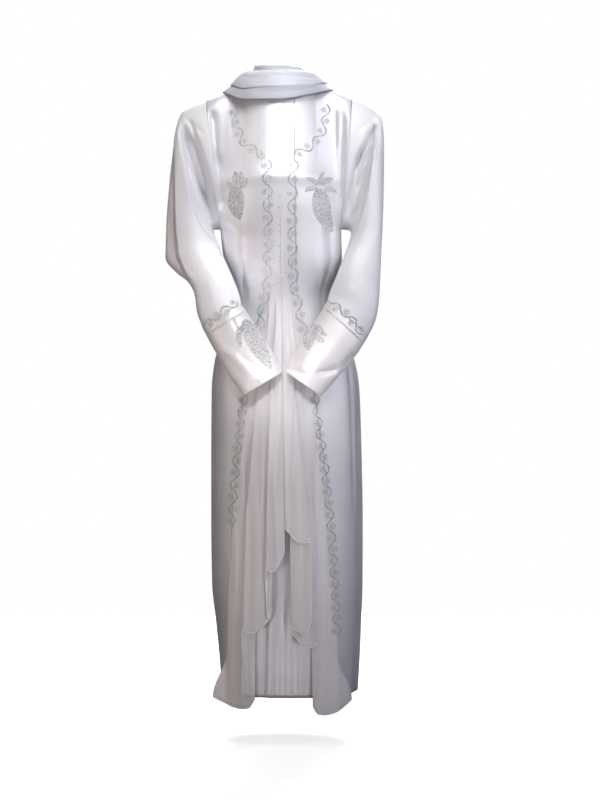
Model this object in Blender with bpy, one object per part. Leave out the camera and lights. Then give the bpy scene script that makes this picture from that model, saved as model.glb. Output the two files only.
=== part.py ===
"""A long satin kaftan, filled out as worn, with a chiffon cascade down its front and a draped cowl.

Metres, +Z up. The origin is the middle of the shoulder line, inside the neck opening, and the front
faces -Y, so the left of a name is the left of someone who looks at the front, at -X. Every piece is
a wall of cloth: its outer face is a surface worked out from the tables below, and its inner face is
the same points moved in by the cloth's thickness. Pieces stand a seam's gap apart.
"""

from collections import namedtuple

import bpy
import numpy as np

# Driving sizes, in metres
SATIN = 0.0020
CHIFFON_WALL = 0.0012
SEAM_GAP = 0.0004
SEAM_TRIM = 0.0009
NECK_TRIM = 0.0024
HEM = -1.360
UNDERARM = -0.314
ARMHOLE_DEPTH = 0.065
BODY_SQUARENESS = 2.3
CHEST_RISE = 0.012
CHEST_HEIGHT = -0.245
CHEST_REACH = 0.065
SIDE_FROM = 0.5

# The neckline: a high round neck under the cowl
NECK_HALF_WIDTH = 0.074
NECK_FRONT = 0.068
NECK_BACK = 0.060
NECK_FRONT_DROP = 0.014
NECK_BACK_DROP = 0.002
NECK_SHARE = 0.45
SHOULDER_CROWN = 0.006
SHOULDER_ROUND = 0.5

SHOULDER_RUN_ON = 1.2

# Each shoulder seam, from the neck point to the top of the armhole
Shoulder = namedtuple("Shoulder", "neck_height top_x top_height")
SHOULDERS = {
    -1: Shoulder(0.003, -0.171, -0.0205),
    1: Shoulder(0.005, 0.162, -0.0150),
}

# The body's outline below the underarm, at each height: its two sides, its front and its back
Girth = namedtuple("Girth", "height left right front back")
GIRTHS = [
    Girth(UNDERARM, -0.1385, 0.1370, 0.118, 0.102),
    Girth(-0.380, -0.1310, 0.1390, 0.119, 0.097),
    Girth(-0.475, -0.1090, 0.1110, 0.108, 0.090),
    Girth(-0.545, -0.1300, 0.1360, 0.114, 0.099),
    Girth(-0.620, -0.1520, 0.1700, 0.126, 0.116),
    Girth(-0.680, -0.1580, 0.1790, 0.131, 0.124),
    Girth(-0.830, -0.1590, 0.1840, 0.135, 0.127),
    Girth(-0.970, -0.1590, 0.1865, 0.138, 0.129),
    Girth(-1.120, -0.1570, 0.1860, 0.140, 0.130),
    Girth(-1.200, -0.1485, 0.1830, 0.141, 0.130),
    Girth(-1.270, -0.1415, 0.1805, 0.142, 0.130),
    Girth(HEM, -0.1345, 0.1755, 0.142, 0.130),
]

# The princess seams, where the bead scrolls run, and the line where the two chiffon fronts meet
Seams = namedtuple("Seams", "height left right meeting")
SEAMS = [
    Seams(UNDERARM, -0.028, 0.031, 0.002),
    Seams(-0.420, -0.031, 0.034, 0.002),
    Seams(-0.482, -0.043, 0.040, 0.003),
    Seams(-0.548, -0.050, 0.052, 0.004),
    Seams(-0.640, -0.070, 0.066, 0.005),
    Seams(-0.736, -0.087, 0.081, 0.006),
    Seams(-0.858, -0.100, 0.098, 0.008),
    Seams(-0.991, -0.110, 0.112, 0.010),
    Seams(-1.225, -0.120, 0.125, 0.012),
    Seams(HEM, -0.122, 0.130, 0.012),
]

# Soft troughs in the satin: where across, from which height to which, how wide and how deep
Trough = namedtuple("Trough", "across top foot width depth")
FRONT_TROUGHS = [
    Trough(-0.66, -0.240, -0.600, 0.070, 0.0070),
    Trough(0.60, -0.240, -0.560, 0.060, 0.0070),
    Trough(-0.82, -0.640, -1.500, 0.055, 0.0050),
    Trough(0.80, -0.680, -1.500, 0.060, 0.0060),
    Trough(0.66, -0.560, -1.000, 0.040, 0.0035),
]
BACK_TROUGHS = [
    Trough(-0.62, -0.560, -1.500, 0.075, 0.0090),
    Trough(-0.20, -0.430, -1.500, 0.080, 0.0100),
    Trough(0.24, -0.470, -1.500, 0.085, 0.0090),
    Trough(0.63, -0.600, -1.500, 0.070, 0.0100),
    Trough(-0.36, -0.100, -0.420, 0.080, 0.0060),
    Trough(0.38, -0.090, -0.400, 0.075, 0.0060),
]
TROUGH_FADE = 0.090

# The sleeves, ring by ring from the armhole to the cuff seam: the ring's outer and inner ends, its
# middle's depth and half its own depth. ridge_from and ridge_to bound the arm's raised front face,
# as shares of the half turn from the outer end to the inner one.
Ring = namedtuple("Ring", "outer_x outer_z inner_x inner_z middle_y half_y ridge ridge_from ridge_to")
SLEEVE_RINGS = {
    -1: [
        Ring(-0.1710, -0.0205, -0.1385, UNDERARM, 0.000, 0.065, 0.000, -0.30, 0.30),
        Ring(-0.2010, -0.0330, -0.1415, -0.3140, 0.000, 0.063, 0.000, -0.30, 0.30),
        Ring(-0.2270, -0.0500, -0.1445, -0.3140, 0.000, 0.059, 0.002, -0.25, 0.26),
        Ring(-0.2380, -0.0820, -0.1475, -0.3140, -0.001, 0.053, 0.012, -0.15, 0.34),
        Ring(-0.2470, -0.1440, -0.1505, -0.3145, -0.003, 0.048, 0.019, 0.12, 0.48),
        Ring(-0.2550, -0.2240, -0.1530, -0.3160, -0.008, 0.044, 0.021, 0.22, 0.62),
        Ring(-0.2600, -0.3040, -0.1515, -0.3250, -0.018, 0.042, 0.020, 0.27, 0.76),
        Ring(-0.2610, -0.3780, -0.1430, -0.3450, -0.034, 0.040, 0.016, 0.30, 0.88),
        Ring(-0.2360, -0.4150, -0.1290, -0.3780, -0.061, 0.039, 0.012, 0.24, 1.00),
        Ring(-0.2060, -0.4400, -0.1120, -0.4150, -0.089, 0.037, 0.007, 0.10, 1.20),
        Ring(-0.1900, -0.4700, -0.0975, -0.4500, -0.108, 0.035, 0.002, 0.00, 1.30),
        Ring(-0.1850, -0.5050, -0.0890, -0.4740, -0.119, 0.034, 0.000, -0.30, 1.30),
        Ring(-0.1720, -0.5430, -0.0860, -0.4920, -0.128, 0.033, 0.000, -0.30, 1.30),
    ],
    1: [
        Ring(0.1620, -0.0150, 0.1370, UNDERARM, 0.000, 0.065, 0.000, -0.30, 0.30),
        Ring(0.1860, -0.0220, 0.1405, -0.3140, 0.000, 0.063, 0.000, -0.30, 0.30),
        Ring(0.2140, -0.0400, 0.1440, -0.3145, 0.000, 0.059, 0.002, -0.25, 0.26),
        Ring(0.2310, -0.0700, 0.1475, -0.3150, -0.001, 0.053, 0.012, -0.30, 0.38),
        Ring(0.2345, -0.1330, 0.1510, -0.3155, -0.003, 0.048, 0.018, -0.30, 0.50),
        Ring(0.2335, -0.2160, 0.1555, -0.3170, -0.008, 0.045, 0.019, -0.30, 0.64),
        Ring(0.2310, -0.2960, 0.1590, -0.3260, -0.018, 0.043, 0.018, -0.30, 0.80),
        Ring(0.2270, -0.3640, 0.1530, -0.3490, -0.036, 0.041, 0.014, -0.30, 0.90),
        Ring(0.2240, -0.4140, 0.1420, -0.3790, -0.064, 0.039, 0.010, -0.30, 1.05),
        Ring(0.2210, -0.4520, 0.1290, -0.4130, -0.090, 0.037, 0.006, -0.30, 1.20),
        Ring(0.2180, -0.4850, 0.1160, -0.4460, -0.109, 0.035, 0.002, -0.30, 1.30),
        Ring(0.2110, -0.5240, 0.1070, -0.4690, -0.120, 0.034, 0.000, -0.30, 1.30),
        Ring(0.1930, -0.5630, 0.1040, -0.4830, -0.129, 0.033, 0.000, -0.30, 1.30),
    ],
}
RIDGE_SOFTNESS = 0.16
RIDGE_FRONT = 3.0

# The cuffs, from the seam to the mouth
Cuff = namedtuple("Cuff", "outer_x outer_z inner_x inner_z middle_y half_y")
CUFFS = {
    -1: [
        Cuff(-0.1720, -0.5430, -0.0860, -0.4920, -0.1280, 0.033),
        Cuff(-0.1520, -0.5800, -0.0610, -0.5290, -0.1460, 0.031),
        Cuff(-0.1310, -0.6160, -0.0390, -0.5640, -0.1620, 0.028),
        Cuff(-0.1100, -0.6510, -0.0180, -0.5970, -0.1770, 0.025),
        Cuff(-0.0790, -0.6940, 0.0060, -0.6420, -0.1930, 0.021),
    ],
    1: [
        Cuff(0.1930, -0.5630, 0.1040, -0.4830, -0.1290, 0.033),
        Cuff(0.1710, -0.5980, 0.0840, -0.5190, -0.1470, 0.031),
        Cuff(0.1460, -0.6290, 0.0600, -0.5560, -0.1630, 0.028),
        Cuff(0.1200, -0.6590, 0.0360, -0.5940, -0.1780, 0.025),
        Cuff(0.0890, -0.6940, 0.0105, -0.6410, -0.1940, 0.021),
    ],
}

# The chiffon fronts hang in folds. Each row is one fold: the cloth runs on from the seam, turns back
# at one place and turns again at another, both as shares of the way from seam to meeting line. The
# hem columns say how low the cloth hangs at those two turns.
Fold = namedtuple("Fold", "turns_back turns_again back_hem again_hem")
Front = namedtuple("Front", "seam_hem meeting_hem folds")
CHIFFON = {
    -1: Front(-1.384, -1.030, [Fold(0.42, 0.25, -1.376, -1.205), Fold(0.77, 0.66, -1.165, -1.095)]),
    1: Front(-1.384, -0.984, [Fold(0.50, 0.42, -1.384, -1.236), Fold(0.90, 0.47, -1.195, -1.040)]),
}
CHIFFON_TOP = -0.425
TURNS_START = -0.455
TURNS_FULL = -0.610
FOLDS_FULL = -1.000
FOLD_BEND = 0.0030
TOP_BEND = 0.20
LEAST_BACK = 0.0012
CHIFFON_CLEAR = 0.0038
LOBE_FLARE = 0.029
LOBE_DIP = 0.010
LOBE_FORWARD = 0.006
LOBE_TOP = -1.270
SIDE_LIMIT = 0.90

# The cowl, all round the neck from the front (0) past the right, the back and the left: the stand's
# top and foot, how far the two outer drapes swell and sag, and where the lower edge lies
Cowl = namedtuple(
    "Cowl",
    "turn top_reach top_height foot_reach foot_height upper_swell upper_sag"
    " lower_swell lower_sag edge_reach edge_height",
)
COWL = [
    Cowl(0.000, 0.056, 0.047, 0.063, 0.004, 0.086, 0.030, 0.110, 0.002, 0.0960, -0.0245),
    Cowl(0.125, 0.055, 0.047, 0.064, 0.007, 0.083, 0.035, 0.106, 0.010, 0.0930, -0.0100),
    Cowl(0.250, 0.057, 0.052, 0.066, 0.012, 0.074, 0.042, 0.090, 0.026, 0.1240, 0.0034),
    Cowl(0.375, 0.056, 0.064, 0.062, 0.018, 0.072, 0.050, 0.092, 0.026, 0.0920, -0.0008),
    Cowl(0.500, 0.056, 0.071, 0.058, 0.022, 0.070, 0.050, 0.092, 0.020, 0.0845, -0.0098),
    Cowl(0.625, 0.057, 0.069, 0.062, 0.020, 0.074, 0.048, 0.092, 0.022, 0.0930, -0.0028),
    Cowl(0.750, 0.056, 0.061, 0.066, 0.012, 0.077, 0.037, 0.088, 0.012, 0.1300, -0.0010),
    Cowl(0.875, 0.056, 0.052, 0.065, 0.007, 0.084, 0.029, 0.105, 0.004, 0.0950, -0.0140),
]
COWL_MIDDLE_X = -0.003
COWL_DEPTH = 1.04
STAND_BULGE = 0.002
COWL_CLEAR = 0.0018
UPPER_START = 0.30
UPPER_END = 0.30
LOWER_START = 0.72

# How finely the grids are drawn, and the small step that a surface's slope is measured over
CHEST_ROWS = 10
SKIRT_ROWS = 17
CENTRE_COLUMNS = 9
SIDE_COLUMNS = 10
BACK_COLUMNS = 21
FINE_SLEEVE_STEP = 0.5
FINE_SLEEVE_END = 8
CUFF_ROWS = 6
CHIFFON_ROWS = 17
ROWS_TO_ENDS = 0.6
FIRST_RUN_STEPS = 6
STEPS_A_STRETCH = 3
COWL_TURNS = 32
STAND_ROWS = 4
UPPER_ROWS = 5
LOWER_ROWS = 6
NUDGE = 1e-4
SHARP_ANGLE = 50

Finish = namedtuple("Finish", "name colour roughness")
WHITE_SATIN = Finish("white satin", (0.80, 0.80, 0.84, 1.0), 0.34)
CUFF_SATIN = Finish("rose-white satin", (0.84, 0.80, 0.82, 1.0), 0.30)
PALE_CHIFFON = Finish("pale chiffon", (0.78, 0.75, 0.77, 1.0), 0.75)


def clear_scene():
    for thing in list(bpy.data.objects):
        bpy.data.objects.remove(thing, do_unlink=True)


def ease(share):
    """A soft step from 0 to 1."""
    share = np.clip(share, 0.0, 1.0)
    return share * share * (3.0 - 2.0 * share)


def smooth_curve(places, values, at):
    """A cubic through the values at rising places, with no overshoot, straight beyond its ends."""
    places = np.asarray(places, float)
    values = np.asarray(values, float)
    gaps = np.diff(places)
    slopes = np.diff(values) / gaps
    tangents = np.empty_like(values)
    tangents[0] = slopes[0]
    tangents[-1] = slopes[-1]
    before, after = slopes[:-1], slopes[1:]
    together = before * after > 0
    safe = np.where(together, before + after, 1.0)
    tangents[1:-1] = np.where(together, 2.0 * before * after / safe, 0.0)
    at = np.asarray(at, float)
    cell = np.clip(np.searchsorted(places, at) - 1, 0, len(gaps) - 1)
    width = gaps[cell]
    raw = (at - places[cell]) / width
    t = np.clip(raw, 0.0, 1.0)
    start, end = values[cell], values[cell + 1]
    leave, arrive = tangents[cell] * width, tangents[cell + 1] * width
    inside = (
        start * (1 + 2 * t) * (1 - t) ** 2
        + leave * t * (1 - t) ** 2
        + end * t * t * (3 - 2 * t)
        + arrive * t * t * (t - 1)
    )
    beyond = np.where(raw < 0, leave * raw, 0.0) + np.where(raw > 1, arrive * (raw - 1), 0.0)
    return inside + beyond


def column(rows, name):
    return [getattr(row, name) for row in rows]


def by_height(rows, name, height):
    """One column of a table that runs downwards, at the given heights."""
    return smooth_curve([-row.height for row in rows], column(rows, name), -np.asarray(height, float))


def by_station(rows, name, station):
    return smooth_curve(range(len(rows)), column(rows, name), station)


def within_plane(ring, directions):
    """The directions laid into the plane of a closed ring, so that a tube's end is cut square."""
    spokes = ring - ring.mean(axis=0)
    axis = np.cross(spokes, np.roll(spokes, -1, axis=0)).sum(axis=0)
    axis /= np.linalg.norm(axis)
    flat = directions - (directions @ axis)[:, None] * axis
    return flat / np.linalg.norm(flat, axis=1, keepdims=True)


def cloth(name, surface, us, vs, thickness, finish, closed=False, square=False):
    """One piece of cloth: surface(u, v) is its outer face, and its inner face lies inside that by the
    thickness. Closed cloth runs all the way round a tube, which may have square-cut ends."""
    u, v = np.meshgrid(us, vs)
    heading = np.sign(us[1] - us[0])
    before, after = u - NUDGE, u + NUDGE
    if not closed:
        before, after = np.maximum(before, min(us)), np.minimum(after, max(us))
    along_u = (surface(after, v) - surface(before, v)) * heading
    along_v = surface(u, v + NUDGE) - surface(u, v - NUDGE)
    outward = np.cross(along_v, along_u)
    outward /= np.linalg.norm(outward, axis=2, keepdims=True)
    outer = surface(u, v)
    if square:
        for end in (0, -1):
            outward[end] = within_plane(outer[end], outward[end])
    inner = outer - outward * thickness
    rows, columns = u.shape
    number = np.arange(rows * columns).reshape(rows, columns)
    inside = number + rows * columns
    faces = []
    spans = columns if closed else columns - 1
    for row in range(rows - 1):
        for c in range(spans):
            d = (c + 1) % columns
            faces.append((number[row, c], number[row + 1, c], number[row + 1, d], number[row, d]))
            faces.append((inside[row, c], inside[row, d], inside[row + 1, d], inside[row + 1, c]))
    for c in range(spans):
        d = (c + 1) % columns
        faces.append((number[0, c], number[0, d], inside[0, d], inside[0, c]))
        faces.append((number[-1, d], number[-1, c], inside[-1, c], inside[-1, d]))
    if not closed:
        for row in range(rows - 1):
            faces.append((number[row + 1, 0], number[row, 0], inside[row, 0], inside[row + 1, 0]))
            faces.append((number[row, -1], number[row + 1, -1], inside[row + 1, -1], inside[row, -1]))
    points = np.concatenate([outer.reshape(-1, 3), inner.reshape(-1, 3)])
    mesh = bpy.data.meshes.new(name)
    mesh.from_pydata(points.tolist(), [], [tuple(int(i) for i in face) for face in faces])
    mesh.shade_smooth()
    mesh.set_sharp_from_angle(angle=np.radians(SHARP_ANGLE))
    mesh.materials.append(material(finish))
    piece = bpy.data.objects.new(name, mesh)
    bpy.context.scene.collection.objects.link(piece)
    return piece


def material(finish):
    if finish.name in bpy.data.materials:
        return bpy.data.materials[finish.name]
    made = bpy.data.materials.new(finish.name)
    made.use_nodes = True
    shader = made.node_tree.nodes["Principled BSDF"]
    shader.inputs["Base Color"].default_value = finish.colour
    shader.inputs["Roughness"].default_value = finish.roughness
    shader.inputs["Metallic"].default_value = 0.0
    return made


def height_of(down):
    """The skirt's height: down is 1 at the underarm and 2 at the hem."""
    return UNDERARM + (HEM - UNDERARM) * (down - 1.0)


def girth_point(across, height, face):
    """The body below the underarm: a rounded oval whose front and back have their own depths."""
    left = by_height(GIRTHS, "left", height)
    right = by_height(GIRTHS, "right", height)
    depth = by_height(GIRTHS, "front" if face < 0 else "back", height)
    angle = across * np.pi / 2
    power = 2.0 / BODY_SQUARENESS
    sine, cosine = np.sin(angle), np.cos(angle)
    x = (left + right) / 2 + (right - left) / 2 * np.sign(sine) * np.abs(sine) ** power
    y = face * depth * np.sign(cosine) * np.abs(cosine) ** power
    return x, y


def top_line(across, face):
    """The top edge of the front or the back: shoulder seam, neckline, shoulder seam."""
    x = np.zeros_like(across)
    y = np.zeros_like(across)
    z = np.zeros_like(across)
    depth = NECK_FRONT if face < 0 else NECK_BACK
    drop = NECK_FRONT_DROP if face < 0 else NECK_BACK_DROP
    for side, shoulder in SHOULDERS.items():
        along = np.clip((side * across - NECK_SHARE) / (1.0 - NECK_SHARE), 0.0, SHOULDER_RUN_ON)
        seam = side * across >= NECK_SHARE
        rise = SHOULDER_CROWN * np.sin(np.pi * np.clip(along, 0, 1))
        x = np.where(seam, side * NECK_HALF_WIDTH + (shoulder.top_x - side * NECK_HALF_WIDTH) * along, x)
        fall = shoulder.top_height - shoulder.neck_height
        z = np.where(seam, shoulder.neck_height + fall * along + rise, z)
        neck = (side * across < NECK_SHARE) & (side * across >= 0)
        turn = np.clip(across / NECK_SHARE, -1, 1) * np.pi / 2
        scoop = np.cos(turn)
        x = np.where(neck, NECK_HALF_WIDTH * np.sin(turn), x)
        y = np.where(neck, face * depth * scoop, y)
        z = np.where(neck, shoulder.neck_height * np.abs(np.sin(turn)) - drop * scoop ** 2, z)
    return x, y, z


def troughs(across, height, face):
    """How far the satin sinks in at each point, over all its troughs."""
    sunk = np.zeros_like(across)
    for row in FRONT_TROUGHS if face < 0 else BACK_TROUGHS:
        along = ease((row.top - height) / TROUGH_FADE) * ease((height - row.foot) / TROUGH_FADE)
        sunk = sunk + row.depth * along * np.exp(-(((across - row.across) / row.width) ** 2))
    return sunk


def torso(across, down, face):
    """The body: across runs from -1 at the left side to 1 at the right, down from 0 at the shoulders
    through 1 at the underarm to 2 at the hem, and face is -1 for the front and 1 for the back. Above
    the underarm each edge is half of the armhole."""
    fall = np.sin(np.clip(down, -1, 1) * np.pi / 2) ** 2
    forward = np.sign(down) * fall ** (SHOULDER_ROUND / 2)
    skirt_height = height_of(np.maximum(down, 1.0))
    ring_x, ring_y = girth_point(across, skirt_height, face)
    top_x, top_y, top_z = top_line(across, face)
    above = down < 1.0
    x = np.where(above, (1 - fall) * top_x + fall * ring_x, ring_x)
    z = np.where(above, (1 - fall) * top_z + fall * UNDERARM, skirt_height)
    open_arc = np.sin(np.pi * np.clip(down, -1, 1))
    edge = ease((np.abs(across) - SIDE_FROM) / (1 - SIDE_FROM)) * np.abs(open_arc)
    chest_y = (1 - forward) * top_y + forward * ring_y
    y = np.where(above, (1 - edge) * chest_y + edge * face * ARMHOLE_DEPTH * np.sign(open_arc), ring_y)
    if face < 0:
        swell = np.exp(-(((z - CHEST_HEIGHT) / CHEST_REACH) ** 2)) * np.cos(across * np.pi / 2) ** 2
        y = y - CHEST_RISE * swell
    sunk = troughs(across, z, face) * np.cos(np.clip(across, -1, 1) * np.pi / 2) ** 0.5
    angle = across * np.pi / 2
    x = x - sunk * np.sin(angle)
    y = y - face * sunk * np.cos(angle)
    return np.stack([x, y, z], axis=-1)


def seam_across(side, down):
    """Where a princess seam crosses the front, as a share of its half width."""
    height = height_of(np.maximum(down, 1.0))
    seam = by_height(SEAMS, "left" if side < 0 else "right", height)
    left = by_height(GIRTHS, "left", height)
    right = by_height(GIRTHS, "right", height)
    share = (seam - (left + right) / 2) / ((right - left) / 2)
    return side * np.arcsin(np.clip(side * share, 0, 1) ** (BODY_SQUARENESS / 2)) * 2 / np.pi


def body_rows():
    """The rows that every panel of the body shares, so that their edges meet point for point."""
    chest = np.arange(CHEST_ROWS) / CHEST_ROWS
    chest[0] = NECK_TRIM
    skirt = 1.0 + np.arange(SKIRT_ROWS + 1) / SKIRT_ROWS
    return np.concatenate([chest, skirt])


def make_body():
    rows = body_rows()

    def centre(u, v):
        left = seam_across(-1, v) + SEAM_TRIM
        right = seam_across(1, v) - SEAM_TRIM
        return torso(left + (right - left) * u, v, -1)

    def side_left(u, v):
        inner = seam_across(-1, v) - SEAM_TRIM
        outer = -1.0 + SEAM_TRIM
        return torso(outer + (inner - outer) * u, v, -1)

    def side_right(u, v):
        inner = seam_across(1, v) + SEAM_TRIM
        outer = 1.0 - SEAM_TRIM
        return torso(inner + (outer - inner) * u, v, -1)

    def back(u, v):
        return torso(u * (1.0 - SEAM_TRIM), v, 1)

    centre_us = np.linspace(0, 1, CENTRE_COLUMNS)
    side_us = np.linspace(0, 1, SIDE_COLUMNS)
    back_us = np.linspace(1, -1, BACK_COLUMNS)
    cloth("front_centre_panel", centre, centre_us, rows, SATIN, WHITE_SATIN)
    cloth("front_side_left", side_left, side_us, rows, SATIN, WHITE_SATIN)
    cloth("front_side_right", side_right, side_us, rows, SATIN, WHITE_SATIN)
    cloth("back_panel", back, back_us, rows, SATIN, WHITE_SATIN)


def ring_point(rows, station, around):
    """A point of a sleeve or cuff ring: around is 0 at the outer end, 1 at the inner end and 2 at
    the outer end again, by way of the front and then the back."""
    outer_x, outer_z = by_station(rows, "outer_x", station), by_station(rows, "outer_z", station)
    inner_x, inner_z = by_station(rows, "inner_x", station), by_station(rows, "inner_z", station)
    angle = around * np.pi
    reach = np.cos(angle)
    x = (outer_x + inner_x) / 2 + (outer_x - inner_x) / 2 * reach
    z = (outer_z + inner_z) / 2 + (outer_z - inner_z) / 2 * reach
    y = by_station(rows, "middle_y", station) - by_station(rows, "half_y", station) * np.sin(angle)
    return x, y, z


def make_sleeve(side, name):
    rows = SLEEVE_RINGS[side]

    def surface(around, station):
        x, y, z = ring_point(rows, station, around)
        start = by_station(rows, "ridge_from", station)
        end = by_station(rows, "ridge_to", station)
        share = np.mod(around + 0.5, 2.0) - 0.5
        raised = ease((share - start) / RIDGE_SOFTNESS) * ease((end - share) / RIDGE_SOFTNESS)
        front = ease(np.sin(share * np.pi) * RIDGE_FRONT) * (share < 1.0)
        y = y - by_station(rows, "ridge", station) * raised * front
        return np.stack([x + side * SEAM_GAP, y, z], axis=-1)

    turns = np.arange(2 * CHEST_ROWS) / CHEST_ROWS
    if side > 0:
        turns = turns[::-1]
    fine = np.arange(0, FINE_SLEEVE_END, FINE_SLEEVE_STEP)
    coarse = np.arange(FINE_SLEEVE_END, len(rows))
    cloth(name, surface, turns, np.concatenate([fine, coarse]), SATIN, WHITE_SATIN, True, True)


def make_cuff(side, name):
    """A cuff, moved a seam's gap down the line of its own outer edge, away from the sleeve."""
    rows = CUFFS[side]
    top, mouth = rows[0], rows[-1]
    run = (mouth.outer_x - top.outer_x, mouth.middle_y - top.middle_y, mouth.outer_z - top.outer_z)
    down_sleeve = np.array(run) / np.linalg.norm(run) * SEAM_GAP

    def surface(around, station):
        x, y, z = ring_point(rows, station, around)
        return np.stack([x + side * SEAM_GAP, y, z], axis=-1) + down_sleeve

    turns = np.arange(2 * CHEST_ROWS) / CHEST_ROWS
    if side > 0:
        turns = turns[::-1]
    stations = np.linspace(0, len(rows) - 1, CUFF_ROWS)
    cloth(name, surface, turns, stations, SATIN, CUFF_SATIN, True, True)


def front_depth(x, height):
    """The plain front surface's depth at a place across it, held flat past the body's sides."""
    left = by_height(GIRTHS, "left", height)
    right = by_height(GIRTHS, "right", height)
    share = np.clip(np.abs(x - (left + right) / 2) / ((right - left) / 2), 0, SIDE_LIMIT)
    bulge = (1 - share ** BODY_SQUARENESS) ** (1 / BODY_SQUARENESS)
    return -by_height(GIRTHS, "front", height) * bulge


def fold_plan(folds, span, height, way):
    """The chiffon seen from above at a height: how far it has come along from the seam, and forward
    from the skirt. way counts its stretches: a run, then a bend, a way back and a bend for each fold,
    and another run. The bends turn in full below TURNS_FULL, and the ways back grow below that."""
    turn = np.pi * ease((TURNS_START - height) / (TURNS_START - TURNS_FULL))
    grown = ease((TURNS_FULL - height) / (TURNS_FULL - FOLDS_FULL))
    bend = np.pi * FOLD_BEND * (TOP_BEND + (1 - TOP_BEND) * turn / np.pi)
    along = np.zeros_like(height)
    forward = np.zeros_like(height)
    reached = np.zeros_like(height)
    stretch = 0

    def go(length, start_angle, end_angle):
        """One stretch that turns evenly from one angle to another, as far as way has come in it."""
        nonlocal along, forward, stretch
        share = np.clip(way - stretch, 0, 1)
        change = (end_angle - start_angle) * share
        mean = start_angle + change / 2
        chord = length * share * np.sinc(change / (2 * np.pi))
        along = along + chord * np.cos(mean)
        forward = forward + chord * np.sin(mean)
        stretch += 1

    for fold in folds:
        full_back = (fold.turns_back - fold.turns_again) * span - 2 * FOLD_BEND
        back = LEAST_BACK + grown * (full_back - LEAST_BACK)
        step = 2 * bend * np.sinc(turn / np.pi) + back * np.cos(turn)
        middle = (fold.turns_back + fold.turns_again) / 2 * span
        go(middle - step / 2 - reached, 0 * turn, 0 * turn)
        go(bend, 0 * turn, turn)
        go(back, turn, turn)
        go(bend, turn, 0 * turn)
        reached = middle + step / 2
    go(span - reached, 0 * turn, 0 * turn)
    return along, forward


def make_chiffon(side, name):
    """A chiffon front. way counts its stretches from the seam, and v runs from the top to the hem."""
    front = CHIFFON[side]
    seam_name = "left" if side < 0 else "right"
    hem_ways = [0.0]
    hems = [front.seam_hem]
    for number, fold in enumerate(front.folds):
        hem_ways += [4 * number + 1.5, 4 * number + 3.5]
        hems += [fold.back_hem, fold.again_hem]
    last = 4 * len(front.folds) + 1
    hem_ways.append(float(last))
    hems.append(front.meeting_hem)

    def surface(way, v):
        z = CHIFFON_TOP + (smooth_curve(hem_ways, hems, way) - CHIFFON_TOP) * v
        seam = by_height(SEAMS, seam_name, z)
        meeting = by_height(SEAMS, "meeting", z) + side * SEAM_GAP
        along, forward = fold_plan(front.folds, np.abs(meeting - seam), z, way)
        low = ease((LOBE_TOP - z) / (LOBE_TOP - HEM))
        lobe = np.clip(1 - way / hem_ways[1], 0, 1)
        x = seam - side * along + side * LOBE_FLARE * low * lobe
        y = front_depth(x, z) - CHIFFON_CLEAR - forward - LOBE_FORWARD * low
        dip = LOBE_DIP * low * np.sin(np.pi * np.clip(way / hem_ways[1], 0, 1))
        return np.stack([x, y, z - dip], axis=-1)

    first_run = np.arange(FIRST_RUN_STEPS) / FIRST_RUN_STEPS
    rest = np.arange(STEPS_A_STRETCH, last * STEPS_A_STRETCH + 1) / STEPS_A_STRETCH
    ways = np.concatenate([first_run, rest])
    if side > 0:
        ways = ways[::-1]
    even = np.linspace(0, 1, CHIFFON_ROWS)
    drops = (1 - ROWS_TO_ENDS) * even + ROWS_TO_ENDS * (1 - np.cos(np.pi * even)) / 2
    cloth(name, surface, ways, drops, CHIFFON_WALL, PALE_CHIFFON)


def around_neck(name, turn):
    """One column of the cowl's table at any turn, closed all round."""
    turns = [row.turn for row in COWL]
    values = column(COWL, name)
    places = [turns[-1] - 1] + turns + [1.0, 1.0 + turns[1]]
    closed = [values[-1]] + values + values[:2]
    return smooth_curve(places, closed, np.mod(turn, 1.0))


def neck_ring(turn, reach, height):
    angle = turn * 2 * np.pi
    x = COWL_MIDDLE_X + reach * np.sin(angle)
    y = -reach * COWL_DEPTH * np.cos(angle)
    return np.stack([x, y, height + 0 * x], axis=-1)


def outwards(turn, amount):
    """A level step away from the neck."""
    angle = turn * 2 * np.pi
    return amount * np.stack([np.sin(angle), -np.cos(angle), 0 * angle], axis=-1)


def stand(turn, t):
    """The inner band of the cowl, from its top edge to its foot."""
    reach = around_neck("top_reach", turn) * (1 - t) + around_neck("foot_reach", turn) * t
    height = around_neck("top_height", turn) * (1 - t) + around_neck("foot_height", turn) * t
    return neck_ring(turn, reach + STAND_BULGE * np.sin(np.pi * t), height)


def bow(start, pull, end, t):
    """A curve from start to end that is drawn out towards pull."""
    t = t[..., None]
    return (1 - t) ** 2 * start + 2 * t * (1 - t) * pull + t * t * end


def lower_drape(turn, t):
    start = stand(turn, np.full_like(turn, LOWER_START)) + outwards(turn, COWL_CLEAR)
    pull = neck_ring(turn, around_neck("lower_swell", turn), around_neck("lower_sag", turn))
    edge = neck_ring(turn, around_neck("edge_reach", turn), around_neck("edge_height", turn))
    return bow(start, pull, edge, t)


def upper_drape(turn, t):
    start = stand(turn, np.full_like(turn, UPPER_START)) + outwards(turn, COWL_CLEAR)
    pull = neck_ring(turn, around_neck("upper_swell", turn), around_neck("upper_sag", turn))
    end = lower_drape(turn, np.full_like(turn, UPPER_END)) + np.array([0, 0, 1]) * COWL_CLEAR
    return bow(start, pull, end + outwards(turn, COWL_CLEAR / 2), t)


def make_cowl():
    turns = np.arange(COWL_TURNS) / COWL_TURNS
    cloth("cowl_stand", stand, turns, np.linspace(0, 1, STAND_ROWS), SATIN, WHITE_SATIN, closed=True)
    cloth("cowl_upper", upper_drape, turns, np.linspace(0, 1, UPPER_ROWS), SATIN, WHITE_SATIN, closed=True)
    cloth("cowl_lower", lower_drape, turns, np.linspace(0, 1, LOWER_ROWS), SATIN, WHITE_SATIN, closed=True)


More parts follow.
